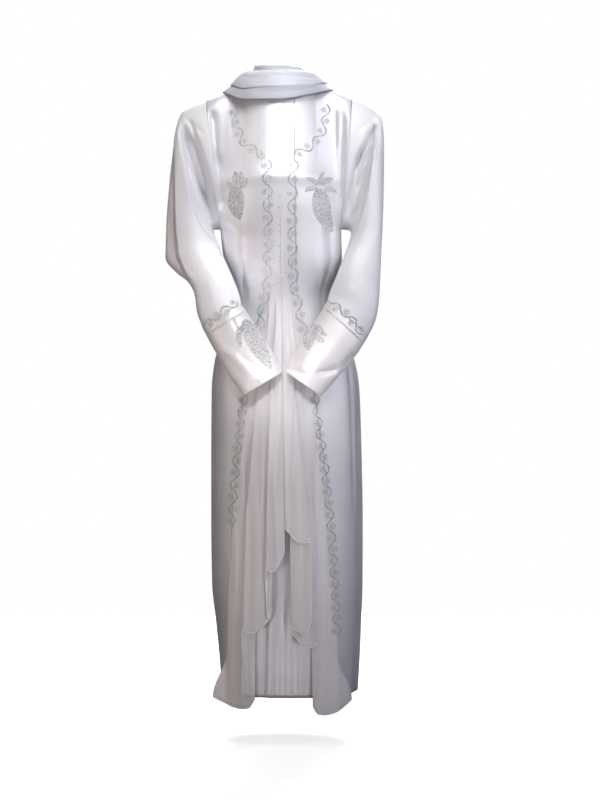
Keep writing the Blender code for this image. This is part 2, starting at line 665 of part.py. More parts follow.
clear_scene()
make_body()
make_sleeve(-1, "sleeve_left")
make_sleeve(1, "sleeve_right")
make_cuff(-1, "cuff_left")
make_cuff(1, "cuff_right")
make_chiffon(-1, "chiffon_left")
make_chiffon(1, "chiffon_right")
make_cowl()
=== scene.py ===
"""A long white satin kaftan with a chiffon cascade, a draped cowl and bead scrollwork.

Metres, +Z up, the front faces -Y, and the left of a name is the left of someone who looks at the front.
Every piece of cloth is a fine sheet worked out on the form of its own solid.
"""

from collections import namedtuple

import bpy
import numpy as np
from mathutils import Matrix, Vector
from mathutils.bvhtree import BVHTree


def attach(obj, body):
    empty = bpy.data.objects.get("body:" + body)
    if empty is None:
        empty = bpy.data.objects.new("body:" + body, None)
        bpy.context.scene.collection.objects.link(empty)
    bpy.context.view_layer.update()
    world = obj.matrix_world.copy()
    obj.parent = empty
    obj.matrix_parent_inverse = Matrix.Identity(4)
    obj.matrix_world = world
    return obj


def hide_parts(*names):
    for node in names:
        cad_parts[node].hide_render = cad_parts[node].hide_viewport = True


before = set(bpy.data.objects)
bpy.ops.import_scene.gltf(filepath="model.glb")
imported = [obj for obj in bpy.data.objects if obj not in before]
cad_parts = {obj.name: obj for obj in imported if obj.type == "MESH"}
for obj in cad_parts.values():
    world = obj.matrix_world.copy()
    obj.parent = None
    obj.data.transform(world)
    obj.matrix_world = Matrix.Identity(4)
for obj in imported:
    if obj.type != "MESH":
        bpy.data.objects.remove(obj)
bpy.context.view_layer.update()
scene = bpy.context.scene

# The camera looks square at the front, from four metres away and level with the mouths of the cuffs.
# Its picture is 1.826 m high at the kaftan, which leaves white above the cowl and below the hem.
CAMERA_AWAY = 4.0
CAMERA_X = 0.0434
CAMERA_Z = -0.703
VIEW_HEIGHT = 1.826

camera_data = bpy.data.cameras.new("camera")
camera_data.sensor_fit = "VERTICAL"
camera_data.sensor_height = 36.0
camera_data.lens = camera_data.sensor_height * CAMERA_AWAY / VIEW_HEIGHT
camera = bpy.data.objects.new("camera", camera_data)
camera.location = (CAMERA_X, -CAMERA_AWAY, CAMERA_Z)
camera.rotation_euler = (np.pi / 2, 0, 0)
scene.collection.objects.link(camera)
scene.camera = camera

# The satin body: a centre front, two side fronts and a back, cut long and slim. They are sewn along
# two princess seams, the sides and the shoulders, and hang from the shoulders to the hem.
SATIN_WALL = 0.0012
HEM = -1.360
UNDERARM = -0.314
NECK_TRIM = 0.0024
ARMHOLE_DEPTH = 0.065
SIDE_FROM = 0.5
BODY_SQUARENESS = 2.3
CHEST_RISE = 0.012
CHEST_HEIGHT = -0.245
CHEST_REACH = 0.065
NECK_HALF_WIDTH = 0.074
NECK_FRONT = 0.068
NECK_BACK = 0.060
NECK_FRONT_DROP = 0.014
NECK_BACK_DROP = 0.002
NECK_SHARE = 0.45
SHOULDER_CROWN = 0.006
SHOULDER_ROUND = 0.5
NECK_FADE = 0.30
UNDERARM_ROUND = 0.030
LEAN_STEP = 0.002
EDGE_HOLD = 0.07
SEAM_DIP = 0.0003
SEAM_DIP_WIDTH = 0.003
SEAM_DIP_TOP = -0.170
SEAM_DIP_RUN = 0.050
CHEST_ROWS = 76
SKIRT_ROWS = 130
BACK_COLUMNS = 131

HANDS = {-1: "left", 1: "right"}
Shoulder = namedtuple("Shoulder", "neck_height top_x top_height")
SHOULDERS = {
    -1: Shoulder(0.003, -0.171, -0.0205),
    1: Shoulder(0.005, 0.162, -0.015),
}

Girth = namedtuple("Girth", "height left right front back")
GIRTHS = [
    Girth(UNDERARM, -0.1385, 0.137, 0.118, 0.102),
    Girth(-0.38, -0.131, 0.139, 0.119, 0.097),
    Girth(-0.475, -0.109, 0.111, 0.108, 0.09),
    Girth(-0.545, -0.13, 0.136, 0.114, 0.099),
    Girth(-0.62, -0.152, 0.17, 0.126, 0.116),
    Girth(-0.68, -0.158, 0.179, 0.131, 0.124),
    Girth(-0.83, -0.159, 0.184, 0.135, 0.127),
    Girth(-0.97, -0.159, 0.1865, 0.138, 0.129),
    Girth(-1.12, -0.157, 0.186, 0.14, 0.13),
    Girth(-1.2, -0.1485, 0.183, 0.141, 0.13),
    Girth(-1.27, -0.1415, 0.1805, 0.142, 0.13),
    Girth(HEM, -0.1345, 0.1755, 0.142, 0.13),
]

Seams = namedtuple("Seams", "height left right meeting")
SEAMS = [
    Seams(UNDERARM, -0.028, 0.031, 0.002),
    Seams(-0.42, -0.031, 0.034, 0.002),
    Seams(-0.482, -0.043, 0.04, 0.003),
    Seams(-0.548, -0.05, 0.052, 0.004),
    Seams(-0.64, -0.07, 0.066, 0.005),
    Seams(-0.736, -0.087, 0.081, 0.006),
    Seams(-0.858, -0.1, 0.098, 0.008),
    Seams(-0.991, -0.11, 0.112, 0.01),
    Seams(-1.225, -0.12, 0.125, 0.012),
    Seams(HEM, -0.122, 0.13, 0.012),
]

# Long soft folds in the satin: where each lies across the body, its top and foot, its width and depth.
FRONT_TROUGHS = [
    (-0.66, -0.24, -0.6, 0.07, 0.001),
    (0.6, -0.24, -0.56, 0.06, 0.0045),
    (-0.82, -0.64, -1.5, 0.055, 0.005),
    (0.8, -0.68, -1.5, 0.06, 0.006),
    (0.66, -0.56, -1.0, 0.04, 0.0035),
    (-0.91, -0.7, -1.5, 0.03, 0.003),
    (0.9, -0.76, -1.3, 0.028, 0.0035),
    (0.72, -0.9, -1.5, 0.03, 0.0025),
]
BACK_TROUGHS = [
    (-0.62, -0.56, -1.5, 0.075, 0.009),
    (-0.2, -0.43, -1.5, 0.08, 0.01),
    (0.24, -0.47, -1.5, 0.085, 0.009),
    (0.63, -0.6, -1.5, 0.07, 0.01),
    (-0.36, -0.1, -0.42, 0.08, 0.006),
    (0.38, -0.09, -0.4, 0.075, 0.006),
    (-0.42, -0.7, -1.5, 0.035, 0.004),
    (0.44, -0.76, -1.5, 0.038, 0.0045),
    (0.02, -0.62, -1.5, 0.032, 0.0038),
    (-0.82, -0.8, -1.5, 0.04, 0.004),
    (0.84, -0.7, -1.5, 0.036, 0.004),
]
TROUGH_FADE = 0.090

# Creases in the satin, each a straight stretch seen from the front: the x and z of its two ends, its
# width and its depth. A minus depth is a ridge. Each fades out over the end quarters of its length.
CREASE_END = 0.25
FRONT_CREASES = [
    (-0.19, -0.206, 0.195, -0.206, 0.019, -0.0085),
    (-0.001, -0.236, -0.001, -0.645, 0.0016, 0.0016),
    (0.0022, -0.236, 0.0028, -0.645, 0.0022, -0.001),
    (-0.008, -0.43, -0.024, -0.66, 0.005, 0.004),
    (-0.015, -0.5, -0.036, -0.68, 0.0045, 0.0026),
    (0.006, -0.47, 0.012, -0.65, 0.004, 0.0022),
    (-0.108, -0.25, -0.104, -0.48, 0.012, 0.0012),
    (-0.088, -0.262, -0.085, -0.48, 0.0035, 0.003),
    (-0.166, -0.05, -0.15, -0.074, 0.006, 0.004),
    (-0.153, -0.04, -0.1475, -0.19, 0.009, 0.011),
    (-0.148, -0.14, -0.129, -0.29, 0.01, 0.014),
    (0.112, -0.27, 0.107, -0.48, 0.011, 0.01),
    (-0.09, -0.33, -0.076, -0.52, 0.007, 0.0026),
    (0.09, -0.34, 0.08, -0.52, 0.007, 0.0024),
    (-0.109, -0.06, -0.109, -0.2, 0.004, 0.0026),
    (0.1235, -0.04, 0.1235, -0.15, 0.0045, 0.003),
    (0.1424, -0.04, 0.134, -0.24, 0.006, 0.006),
    (0.0078, -0.04, 0.006, -0.098, 0.0022, 0.0024),
    (-0.13, -0.29, -0.07, -0.35, 0.006, 0.002),
    (0.128, -0.3, 0.076, -0.36, 0.006, 0.002),
    (-0.112, -0.43, -0.05, -0.47, 0.006, 0.0018),
    (-0.033, -1.14, -0.04, -1.4, 0.0075, 0.006),
    (0.014, -1.12, 0.01, -1.4, 0.0065, 0.0055),
    (-0.008, -1.2, -0.012, -1.4, 0.005, 0.0034),
    (0.037, -1.18, 0.04, -1.4, 0.006, 0.0045),
    (0.112, -0.44, 0.056, -0.48, 0.006, 0.0018),
]
BACK_CREASES = [
    (-0.12, -0.3, -0.05, -0.39, 0.008, 0.0026),
    (0.118, -0.31, 0.046, -0.4, 0.008, 0.0026),
    (-0.1, -0.455, -0.01, -0.485, 0.007, 0.0024),
    (0.104, -0.44, 0.02, -0.5, 0.007, 0.0024),
    (0.0, -0.02, 0.004, -0.43, 0.0016, 0.001),
]


def ease(share):
    """A soft step from 0 to 1: three times the square of the share less twice its cube."""
    share = np.clip(share, 0.0, 1.0)
    return share * share * (3.0 - 2.0 * share)


def bell(away):
    """A bell-shaped profile: the exponential of minus the square, which is 1 in the middle."""
    return np.exp(-(away ** 2))


def signed_power(value, power):
    """A power of the size of a value, with the value's own sign."""
    return np.sign(value) * np.abs(value) ** power


def smooth_curve(places, values, at):
    """A cubic through the values at rising places, with no overshoot, straight beyond its ends. Its
    slope at a value is the harmonic mean of the slopes beside it, or 0 where they change sign."""
    places = np.asarray(places, float)
    values = np.asarray(values, float)
    gaps = np.diff(places)
    slopes = np.diff(values) / gaps
    tangents = np.empty_like(values)
    tangents[0] = slopes[0]
    tangents[-1] = slopes[-1]
    before, after = slopes[:-1], slopes[1:]
    together = before * after > 0
    safe = np.where(together, before + after, 1.0)
    tangents[1:-1] = np.where(together, 2.0 * before * after / safe, 0.0)
    at = np.asarray(at, float)
    cell = np.clip(np.searchsorted(places, at) - 1, 0, len(gaps) - 1)
    width = gaps[cell]
    raw = (at - places[cell]) / width
    t = np.clip(raw, 0.0, 1.0)
    leave, arrive = tangents[cell] * width, tangents[cell + 1] * width
    inside = (
        values[cell] * (1 + 2 * t) * (1 - t) ** 2
        + leave * t * (1 - t) ** 2
        + values[cell + 1] * t * t * (3 - 2 * t)
        + arrive * t * t * (t - 1)
    )
    beyond = np.where(raw < 0, leave * raw, 0.0) + np.where(raw > 1, arrive * (raw - 1), 0.0)
    return inside + beyond


def column(rows, name):
    """One column of a table."""
    return [getattr(row, name) for row in rows]


def by_height(rows, name, height):
    """One column of a table that runs downwards, at the given heights."""
    return smooth_curve([-row.height for row in rows], column(rows, name), -np.asarray(height, float))


def pressed(x, z, creases):
    """How far the cloth sinks in: a bell-shaped profile across each crease, faded out at its ends."""
    sunk = np.zeros_like(x)
    for x_from, z_from, x_to, z_to, width, depth in creases:
        run_x, run_z = x_to - x_from, z_to - z_from
        run = np.hypot(run_x, run_z)
        along = ((x - x_from) * run_x + (z - z_from) * run_z) / run
        aside = ((x - x_from) * run_z - (z - z_from) * run_x) / run
        fade = ease(along / run / CREASE_END) * ease((1 - along / run) / CREASE_END)
        sunk = sunk + depth * fade * bell(aside / width)
    return sunk


def girth_span(height):
    """The middle and the half width of the body at a height."""
    left = by_height(GIRTHS, "left", height)
    right = by_height(GIRTHS, "right", height)
    return (left + right) / 2, (right - left) / 2


def girth_point(across, height, face):
    """The body below the underarm: a rounded oval whose front and back have their own depths. The sine
    and the cosine of its angle are raised to the power of two over the squareness."""
    middle, half_width = girth_span(height)
    depth = by_height(GIRTHS, "front" if face < 0 else "back", height)
    angle = across * np.pi / 2
    x = middle + half_width * signed_power(np.sin(angle), 2.0 / BODY_SQUARENESS)
    return x, face * depth * signed_power(np.cos(angle), 2.0 / BODY_SQUARENESS)


def top_line(across, down, face):
    """The top edge of the front or the back: two shoulder seams, each straight with a low arch, and
    half an oval for the neckline between them. Further down the body its pull on the cloth loses the
    neckline's corners, so that no ridge runs on from them."""
    x, y, z = np.zeros((3,) + across.shape)
    depth = NECK_FRONT if face < 0 else NECK_BACK
    drop = NECK_FRONT_DROP if face < 0 else NECK_BACK_DROP
    turn = np.clip(across / NECK_SHARE, -1, 1) * np.pi / 2
    scoop = np.cos(turn)
    softened = scoop + (scoop ** 2 - scoop) * ease(down / NECK_FADE)
    for side, shoulder in SHOULDERS.items():
        neck_x = side * NECK_HALF_WIDTH
        along = np.clip((side * across - NECK_SHARE) / (1.0 - NECK_SHARE), 0.0, 1.0)
        rise = SHOULDER_CROWN * np.sin(np.pi * along)
        fall = shoulder.top_height - shoulder.neck_height
        seam = side * across >= NECK_SHARE
        x = np.where(seam, neck_x + (shoulder.top_x - neck_x) * along, x)
        z = np.where(seam, shoulder.neck_height + fall * along + rise, z)
        neck = (side * across < NECK_SHARE) & (side * across >= 0)
        x = np.where(neck, NECK_HALF_WIDTH * np.sin(turn), x)
        y = np.where(neck, face * depth * softened, y)
        z = np.where(neck, shoulder.neck_height * np.abs(np.sin(turn)) - drop * scoop ** 2, z)
    return x, y, z


def troughs(across, height, rows):
    """How far the satin sinks in along its long soft folds: a bell across each, eased in and out."""
    sunk = np.zeros_like(across)
    for middle, top, foot, width, depth in rows:
        along = ease((top - height) / TROUGH_FADE) * ease((height - foot) / TROUGH_FADE)
        sunk = sunk + depth * along * bell((across - middle) / width)
    return sunk


def skirt_line(down):
    """The underarm's height while down is 1 or less, then evenly on to the hem's height at 2."""
    return UNDERARM + (HEM - UNDERARM) * (np.maximum(down, 1.0) - 1.0)


def torso(across, down, face):
    """The body: across runs from -1 at the left side to 1 at the right, down from 0 at the shoulders
    through 1 at the underarm to 2 at the hem, and face is -1 for the front and 1 for the back. Above
    the underarm each ring blends into the shoulder line, by the squared sine of the way down, sooner
    in depth, and its edge is half of the armhole. A hyperbola rounds the bend between the two parts.
    The folds press the cloth in along its own outward direction, and the creases along Y."""
    fall = np.sin(np.clip(down, 0, 1) * np.pi / 2) ** 2
    forward = fall ** (SHOULDER_ROUND / 2)
    skirt_height = skirt_line(down)
    ring_x, ring_y = girth_point(across, skirt_height, face)
    top_x, top_y, top_z = top_line(across, down, face)
    above = down < 1.0
    x = np.where(above, (1 - fall) * top_x + fall * ring_x, ring_x)
    z = np.where(above, (1 - fall) * top_z + fall * UNDERARM, skirt_height)
    open_arc = np.sin(np.pi * np.clip(down, 0, 1))
    edge = ease((np.abs(across) - SIDE_FROM) / (1 - SIDE_FROM)) * open_arc
    chest_y = (1 - forward) * top_y + forward * ring_y
    y = np.where(above, (1 - edge) * chest_y + edge * face * ARMHOLE_DEPTH, ring_y)
    under_y = girth_point(across, UNDERARM + 0 * down, face)[1]
    lean_below = (under_y - girth_point(across, UNDERARM - LEAN_STEP + 0 * down, face)[1]) / LEAN_STEP
    lean_above = (under_y - top_y) * SHOULDER_ROUND / 2 / (UNDERARM - top_z)
    away = np.abs(z - UNDERARM)
    y = y - (lean_below - lean_above) / 2 * (np.hypot(away, UNDERARM_ROUND) - away)
    angle = across * np.pi / 2
    if face < 0:
        y = y - CHEST_RISE * bell((z - CHEST_HEIGHT) / CHEST_REACH) * np.cos(angle) ** 2
    inner = np.sqrt(np.abs(np.cos(angle)))
    sunk = troughs(across, z, FRONT_TROUGHS if face < 0 else BACK_TROUGHS) * inner
    held = ease((1 - np.abs(across)) / EDGE_HOLD)
    creased = pressed(x, z, FRONT_CREASES if face < 0 else BACK_CREASES) * held
    return np.stack([x - sunk * np.sin(angle), y - face * (sunk * np.cos(angle) + creased), z], axis=-1)


def seam_across(side, down):
    """Where a princess seam crosses the front: the place on the rounded oval that has the seam's x."""
    height = skirt_line(down)
    seam = by_height(SEAMS, HANDS[side], height)
    middle, half_width = girth_span(height)
    share = (seam - middle) / half_width
    return side * np.arcsin(np.clip(side * share, 0, 1) ** (BODY_SQUARENESS / 2)) * 2 / np.pi


def new_piece(name, points, faces, finish):
    """A piece at the origin with these points and faces, smoothly shaded."""
    mesh = bpy.data.meshes.new(name)
    mesh.from_pydata(points.reshape(-1, 3).tolist(), [], faces)
    mesh.shade_smooth()
    mesh.materials.append(finish)
    piece = bpy.data.objects.new(name, mesh)
    scene.collection.objects.link(piece)
    return piece


def cells(grid):
    """The four corners of each cell of a grid, in order round the cell."""
    return np.stack([grid[:-1, :-1], grid[1:, :-1], grid[1:, 1:], grid[:-1, 1:]], axis=2)


def unit(vectors):
    """The same directions, each of length 1."""
    return vectors / np.linalg.norm(vectors, axis=-1, keepdims=True)


def running_length(path, along=0):
    """How far each point of a path lies from its start, or each row or column of a grid, as a mean."""
    steps = np.linalg.norm(np.diff(path, axis=along), axis=-1)
    if steps.ndim == 2:
        steps = steps.mean(axis=1 - along)
    return np.concatenate([[0], np.cumsum(steps)])


def sewn_cloth(name, points, wall, finish, around=False):
    """A sheet of cloth through a grid of points, rows down and columns across, with its wall inside.
    The UV map is in metres: the mean running length of the columns, and that of the rows."""
    number = np.arange(points[..., 0].size).reshape(points.shape[:2])
    ring = points
    if around:
        number = np.concatenate([number, number[:, :1]], axis=1)
        ring = np.concatenate([points, points[:, :1]], axis=1)
    piece = new_piece(name, points, cells(number).reshape(-1, 4).tolist(), finish)
    flat = np.stack(np.meshgrid(running_length(ring, 1), -running_length(ring)), axis=-1)
    piece.data.uv_layers.new(name="cloth").data.foreach_set("uv", cells(flat).reshape(-1))
    solid = piece.modifiers.new("wall", "SOLIDIFY")
    solid.thickness = wall
    solid.offset = -1.0
    return piece


def add_node(tree, kind, **values):
    """One shader node, with its settings and the values of its sockets by name."""
    made = tree.nodes.new(kind)
    for name, value in values.items():
        socket = made.inputs.get(name.replace("_", " "))
        if socket is not None:
            socket.default_value = value
        else:
            setattr(made, name, value)
    return made


def wire(source, output, target, socket):
    """Links an output of one shader node to a socket of another."""
    source.id_data.links.new(source.outputs[output], target.inputs[socket])


def new_finish(name, **values):
    """A material whose shader has these values in the sockets of these names."""
    made = bpy.data.materials.new(name)
    made.use_nodes = True
    shader = made.node_tree.nodes["Principled BSDF"]
    for socket, value in values.items():
        shader.inputs[socket.replace("_", " ")].default_value = value
    return made


def drifting_tones(tree, coordinates, patches, detail, spread, dark, pale):
    """Two tones that drift into each other in a cloud of patches, about so many to the metre. They are
    reached at this spread below and above the middle of the cloud."""
    cloud = add_node(tree, "ShaderNodeTexNoise", Scale=patches, Detail=detail)
    wire(coordinates, "Object", cloud, "Vector")
    ramp = add_node(tree, "ShaderNodeValToRGB")
    for end, place, tone in zip(ramp.color_ramp.elements, (0.5 - spread, 0.5 + spread), (dark, pale)):
        end.position = place
        end.color = tone
    wire(cloud, "Fac", ramp, "Fac")
    wire(ramp, "Color", tree.nodes["Principled BSDF"], "Base Color")


def cloth_finish(name, colour, shade, roughness, lustre, sheen, weave, alpha=1.0):
    """A woven cloth: two tones that drift into each other in broad clouds, fine diagonal threads in
    its own UV map, and a faint unevenness, both in the bump. Lustre is satin's broad glow, and an
    alpha under 1 makes it sheer."""
    made = new_finish(
        name, Roughness=roughness, Metallic=lustre, Sheen_Weight=sheen, Sheen_Roughness=0.4, Alpha=alpha,
    )
    tree = made.node_tree
    where = add_node(tree, "ShaderNodeTexCoord")
    drifting_tones(tree, where, patches=6.0, detail=2.0, spread=0.15, dark=shade, pale=colour)
    threads = add_node(tree, "ShaderNodeTexWave", bands_direction="DIAGONAL", Scale=weave, Distortion=0.6)
    wire(where, "UV", threads, "Vector")
    uneven = add_node(tree, "ShaderNodeTexNoise", Scale=70.0, Detail=3.0)
    wire(where, "Object", uneven, "Vector")
    fine = add_node(tree, "ShaderNodeBump", Strength=0.10, Distance=0.0002)
    wire(threads, "Fac", fine, "Height")
    broad = add_node(tree, "ShaderNodeBump", Strength=0.35, Distance=0.0006)
    wire(uneven, "Fac", broad, "Height")
    wire(fine, "Normal", broad, "Normal")
    wire(broad, "Normal", tree.nodes["Principled BSDF"], "Normal")
    return made


def finish_piece(piece, node):
    """The piece is sewn to the garment, and takes the place of its solid."""
    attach(piece, "root")
    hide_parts(node)


body_satin = cloth_finish(
    "body_satin", (0.86, 0.86, 0.90, 1), (0.78, 0.77, 0.82, 1),
    roughness=0.48, lustre=0.40, sheen=0.08, weave=420.0,
)
body_rows = np.concatenate([np.linspace(NECK_TRIM, 1, CHEST_ROWS), np.linspace(1, 2, SKIRT_ROWS)[1:]])
front_edges = [-1 + 0 * body_rows, seam_across(-1, body_rows), seam_across(1, body_rows), 1 + 0 * body_rows]


def front_panel(name, columns, edge):
    """A front panel between this edge line down the body and the next, with a shallow dip, a bell in
    section, along each sewn edge."""
    u, v = np.meshgrid(np.linspace(0, 1, columns), body_rows)
    left, right = front_edges[edge][:, None], front_edges[edge + 1][:, None]
    points = torso(left + (right - left) * u, v, -1)
    width = np.linalg.norm(points[:, -1] - points[:, 0], axis=1)[:, None]
    beside = np.minimum(u, 1 - u) * width
    sewn = ease((SEAM_DIP_TOP - points[..., 2]) / SEAM_DIP_RUN)
    points[..., 1] += SEAM_DIP * sewn * bell(beside / SEAM_DIP_WIDTH)
    return sewn_cloth(name, points, SATIN_WALL, body_satin)


centre_front = front_panel("centre_front", columns=61, edge=1)
side_front_left = front_panel("side_front_left", columns=46, edge=0)
side_front_right = front_panel("side_front_right", columns=46, edge=2)
back_grid = np.meshgrid(np.linspace(1, -1, BACK_COLUMNS), body_rows)
back = sewn_cloth("back", torso(*back_grid, 1), SATIN_WALL, body_satin)
finish_piece(centre_front, "front_centre_panel")
finish_piece(side_front_left, "front_side_left")
finish_piece(side_front_right, "front_side_right")
finish_piece(back, "back_panel")

# The sleeves: wide satin tubes set into the deep armholes. Each lies over the forearm as a raised face
# and sags in a pouch behind the elbow, with a fan of folds where it pulls from the shoulder point.
SEAM_GAP = 0.0004
RIDGE_SOFTNESS = 0.06
RIDGE_FRONT = 3.0
SLEEVE_TURNS = 168
SLEEVE_STATIONS = 128

Ring = namedtuple("Ring", "outer_x outer_z inner_x inner_z middle_y half_y ridge ridge_from ridge_to")
SLEEVE_RINGS = {
    -1: [
        Ring(-0.171, -0.0205, -0.1385, UNDERARM, 0.0, 0.065, 0.0, -0.3, 0.3),
        Ring(-0.201, -0.033, -0.1415, -0.314, 0.0, 0.063, 0.0, -0.3, 0.3),
        Ring(-0.227, -0.05, -0.1445, -0.314, 0.0, 0.059, 0.003, -0.25, 0.26),
        Ring(-0.238, -0.082, -0.1475, -0.314, -0.001, 0.053, 0.016, -0.15, 0.34),
        Ring(-0.247, -0.144, -0.1505, -0.3145, -0.003, 0.048, 0.025, 0.12, 0.48),
        Ring(-0.255, -0.224, -0.153, -0.316, -0.008, 0.044, 0.027, 0.22, 0.62),
        Ring(-0.26, -0.304, -0.1515, -0.325, -0.018, 0.042, 0.026, 0.27, 0.76),
        Ring(-0.261, -0.378, -0.143, -0.345, -0.034, 0.04, 0.021, 0.3, 0.88),
        Ring(-0.236, -0.415, -0.129, -0.378, -0.061, 0.039, 0.016, 0.24, 1.0),
        Ring(-0.206, -0.44, -0.112, -0.415, -0.089, 0.037, 0.009, 0.1, 1.2),
        Ring(-0.19, -0.47, -0.0975, -0.45, -0.108, 0.035, 0.003, 0.0, 1.3),
        Ring(-0.185, -0.505, -0.089, -0.474, -0.119, 0.034, 0.0, -0.3, 1.3),
        Ring(-0.172, -0.543, -0.086, -0.492, -0.128, 0.033, 0.0, -0.3, 1.3),
    ],
    1: [
        Ring(0.162, -0.015, 0.137, UNDERARM, 0.0, 0.065, 0.0, -0.3, 0.3),
        Ring(0.186, -0.022, 0.1405, -0.314, 0.0, 0.063, 0.0, -0.3, 0.3),
        Ring(0.214, -0.04, 0.144, -0.3145, 0.0, 0.059, 0.003, -0.25, 0.26),
        Ring(0.231, -0.07, 0.1475, -0.315, -0.001, 0.053, 0.016, -0.3, 0.38),
        Ring(0.2345, -0.133, 0.151, -0.3155, -0.003, 0.048, 0.023, -0.3, 0.5),
        Ring(0.2335, -0.216, 0.1555, -0.317, -0.008, 0.045, 0.025, -0.3, 0.64),
        Ring(0.231, -0.296, 0.159, -0.326, -0.018, 0.043, 0.023, -0.3, 0.8),
        Ring(0.227, -0.364, 0.153, -0.349, -0.036, 0.041, 0.018, -0.3, 0.9),
        Ring(0.224, -0.414, 0.142, -0.379, -0.064, 0.039, 0.013, -0.3, 1.05),
        Ring(0.221, -0.452, 0.129, -0.413, -0.09, 0.037, 0.008, -0.3, 1.2),
        Ring(0.218, -0.485, 0.116, -0.446, -0.109, 0.035, 0.003, -0.3, 1.3),
        Ring(0.211, -0.524, 0.107, -0.469, -0.12, 0.034, 0.0, -0.3, 1.3),
        Ring(0.193, -0.563, 0.104, -0.483, -0.129, 0.033, 0.0, -0.3, 1.3),
    ],
}
SLEEVE_FRONT_CREASES = {
    -1: [
        (-0.224, -0.07, -0.156, -0.278, 0.012, 0.024),
        (-0.178, -0.205, -0.143, -0.302, 0.011, 0.012),
        (-0.205, -0.095, -0.156, -0.24, 0.006, 0.015),
        (-0.23, -0.085, -0.161, -0.285, 0.0045, 0.013),
        (-0.208, -0.064, -0.156, -0.215, 0.0045, 0.011),
        (-0.174, -0.22, -0.154, -0.305, 0.006, 0.009),
        (-0.2046, -0.1199, -0.1663, -0.2324, 0.0028, -0.004),
        (-0.219, -0.064, -0.172, -0.105, 0.006, 0.0032),
        (-0.254, -0.26, -0.244, -0.37, 0.009, 0.004),
        (-0.225, -0.385, -0.19, -0.43, 0.007, 0.0026),
        (-0.17, -0.37, -0.115, -0.46, 0.008, 0.0022),
    ],
    1: [
        (0.2206, -0.075, 0.168, -0.175, 0.006, 0.012),
        (0.185, -0.13, 0.146, -0.3, 0.0075, 0.015),
        (0.2224, -0.0888, 0.207, -0.1937, 0.0032, 0.006),
        (0.1989, -0.108, 0.157, -0.25, 0.0028, -0.004),
        (0.204, -0.125, 0.168, -0.245, 0.0045, 0.011),
        (0.215, -0.07, 0.158, -0.205, 0.0045, 0.011),
        (0.196, -0.17, 0.158, -0.31, 0.0045, 0.011),
        (0.216, -0.06, 0.17, -0.1, 0.006, 0.003),
        (0.212, -0.3, 0.17, -0.41, 0.01, 0.0024),
        (0.208, -0.4, 0.15, -0.46, 0.008, 0.002),
    ],
}
SLEEVE_BACK_CREASES = {
    -1: [
        (-0.245, -0.35, -0.165, -0.3, 0.007, 0.0045),
        (-0.24, -0.372, -0.15, -0.36, 0.006, 0.004),
        (-0.215, -0.09, -0.16, -0.25, 0.008, 0.0045),
        (-0.195, -0.07, -0.155, -0.18, 0.007, 0.0035),
        (-0.2, -0.425, -0.12, -0.455, 0.006, 0.003),
    ],
    1: [
        (0.22, -0.345, 0.165, -0.305, 0.007, 0.0045),
        (0.223, -0.38, 0.155, -0.362, 0.006, 0.004),
        (0.212, -0.09, 0.16, -0.24, 0.008, 0.0045),
        (0.19, -0.065, 0.155, -0.18, 0.007, 0.0035),
        (0.215, -0.45, 0.135, -0.445, 0.006, 0.003),
    ],
}


def by_station(rows, names, station):
    """Some columns of a table of rings, at any station from the first ring down to the last."""
    return [smooth_curve(range(len(rows)), column(rows, name), station) for name in names.split()]


def tube_grid(rows, side, turns, stations):
    """The grid of a tube: how far round it, and at which station. The right one runs the other way
    round, so that both have their faces outwards."""
    around = np.arange(turns) * 2 / turns
    return np.meshgrid(around[::-side], np.linspace(0, len(rows) - 1, stations))


def ring_point(rows, station, around, pinch=1.0):
    """A point of a sleeve or cuff ring: around is 0 at the outer end, 1 at the inner end and 2 at
    the outer end again, by way of the front and then the back. The cosine goes from end to end, and
    the sine, to the power of pinch, from front to back, so that a pinch over 1 thins both ends."""
    outer_x, outer_z, inner_x, inner_z = by_station(rows, "outer_x outer_z inner_x inner_z", station)
    middle_y, half_y = by_station(rows, "middle_y half_y", station)
    reach, bulge = np.cos(around * np.pi), np.sin(around * np.pi)
    x = (outer_x + inner_x) / 2 + (outer_x - inner_x) / 2 * reach
    z = (outer_z + inner_z) / 2 + (outer_z - inner_z) / 2 * reach
    return x, middle_y - half_y * signed_power(bulge, pinch), z


def creased_tube(x, y, z, around, front_creases, back_creases):
    """The ring's own y, pressed in by the creases of the half that each point is on, and left as it is
    at the two folded edges."""
    flank = ease(np.abs(np.sin(around * np.pi)) * RIDGE_FRONT)
    front = np.sin(around * np.pi) > 0
    sunk = np.where(front, pressed(x, z, front_creases), -pressed(x, z, back_creases))
    return y + sunk * flank


def sleeve_grid(side):
    """The sleeve's rings on a grid, with the arm's raised face drawn forward between its two folds."""
    rows = SLEEVE_RINGS[side]
    around, station = tube_grid(rows, side, SLEEVE_TURNS, SLEEVE_STATIONS)
    x, y, z = ring_point(rows, station, around)
    share = np.mod(around + 0.5, 2.0) - 0.5
    ridge, start, end = by_station(rows, "ridge ridge_from ridge_to", station)
    raised = ease((share - start) / RIDGE_SOFTNESS) * ease((end - share) / RIDGE_SOFTNESS)
    front = ease(np.sin(share * np.pi) * RIDGE_FRONT) * (share < 1.0)
    y = y - ridge * raised * front
    y = creased_tube(x, y, z, around, SLEEVE_FRONT_CREASES[side], SLEEVE_BACK_CREASES[side])
    return np.stack([x + side * SEAM_GAP, y, z], axis=-1)


# The sleeves' satin is the body's white satin with its colour set lighter: painted light on the sleeves.
sleeve_satin_painted_light = cloth_finish(
    "sleeve_satin_painted_light", (0.90, 0.91, 0.94, 1), (0.83, 0.82, 0.86, 1),
    roughness=0.54, lustre=0.15, sheen=0.04, weave=420.0,
)
sleeves = {}
for side, hand in HANDS.items():
    sleeve = sewn_cloth(f"{hand}_sleeve", sleeve_grid(side), SATIN_WALL, sleeve_satin_painted_light, around=True)
    finish_piece(sleeve, f"sleeve_{hand}")
    sleeves[side] = sleeve

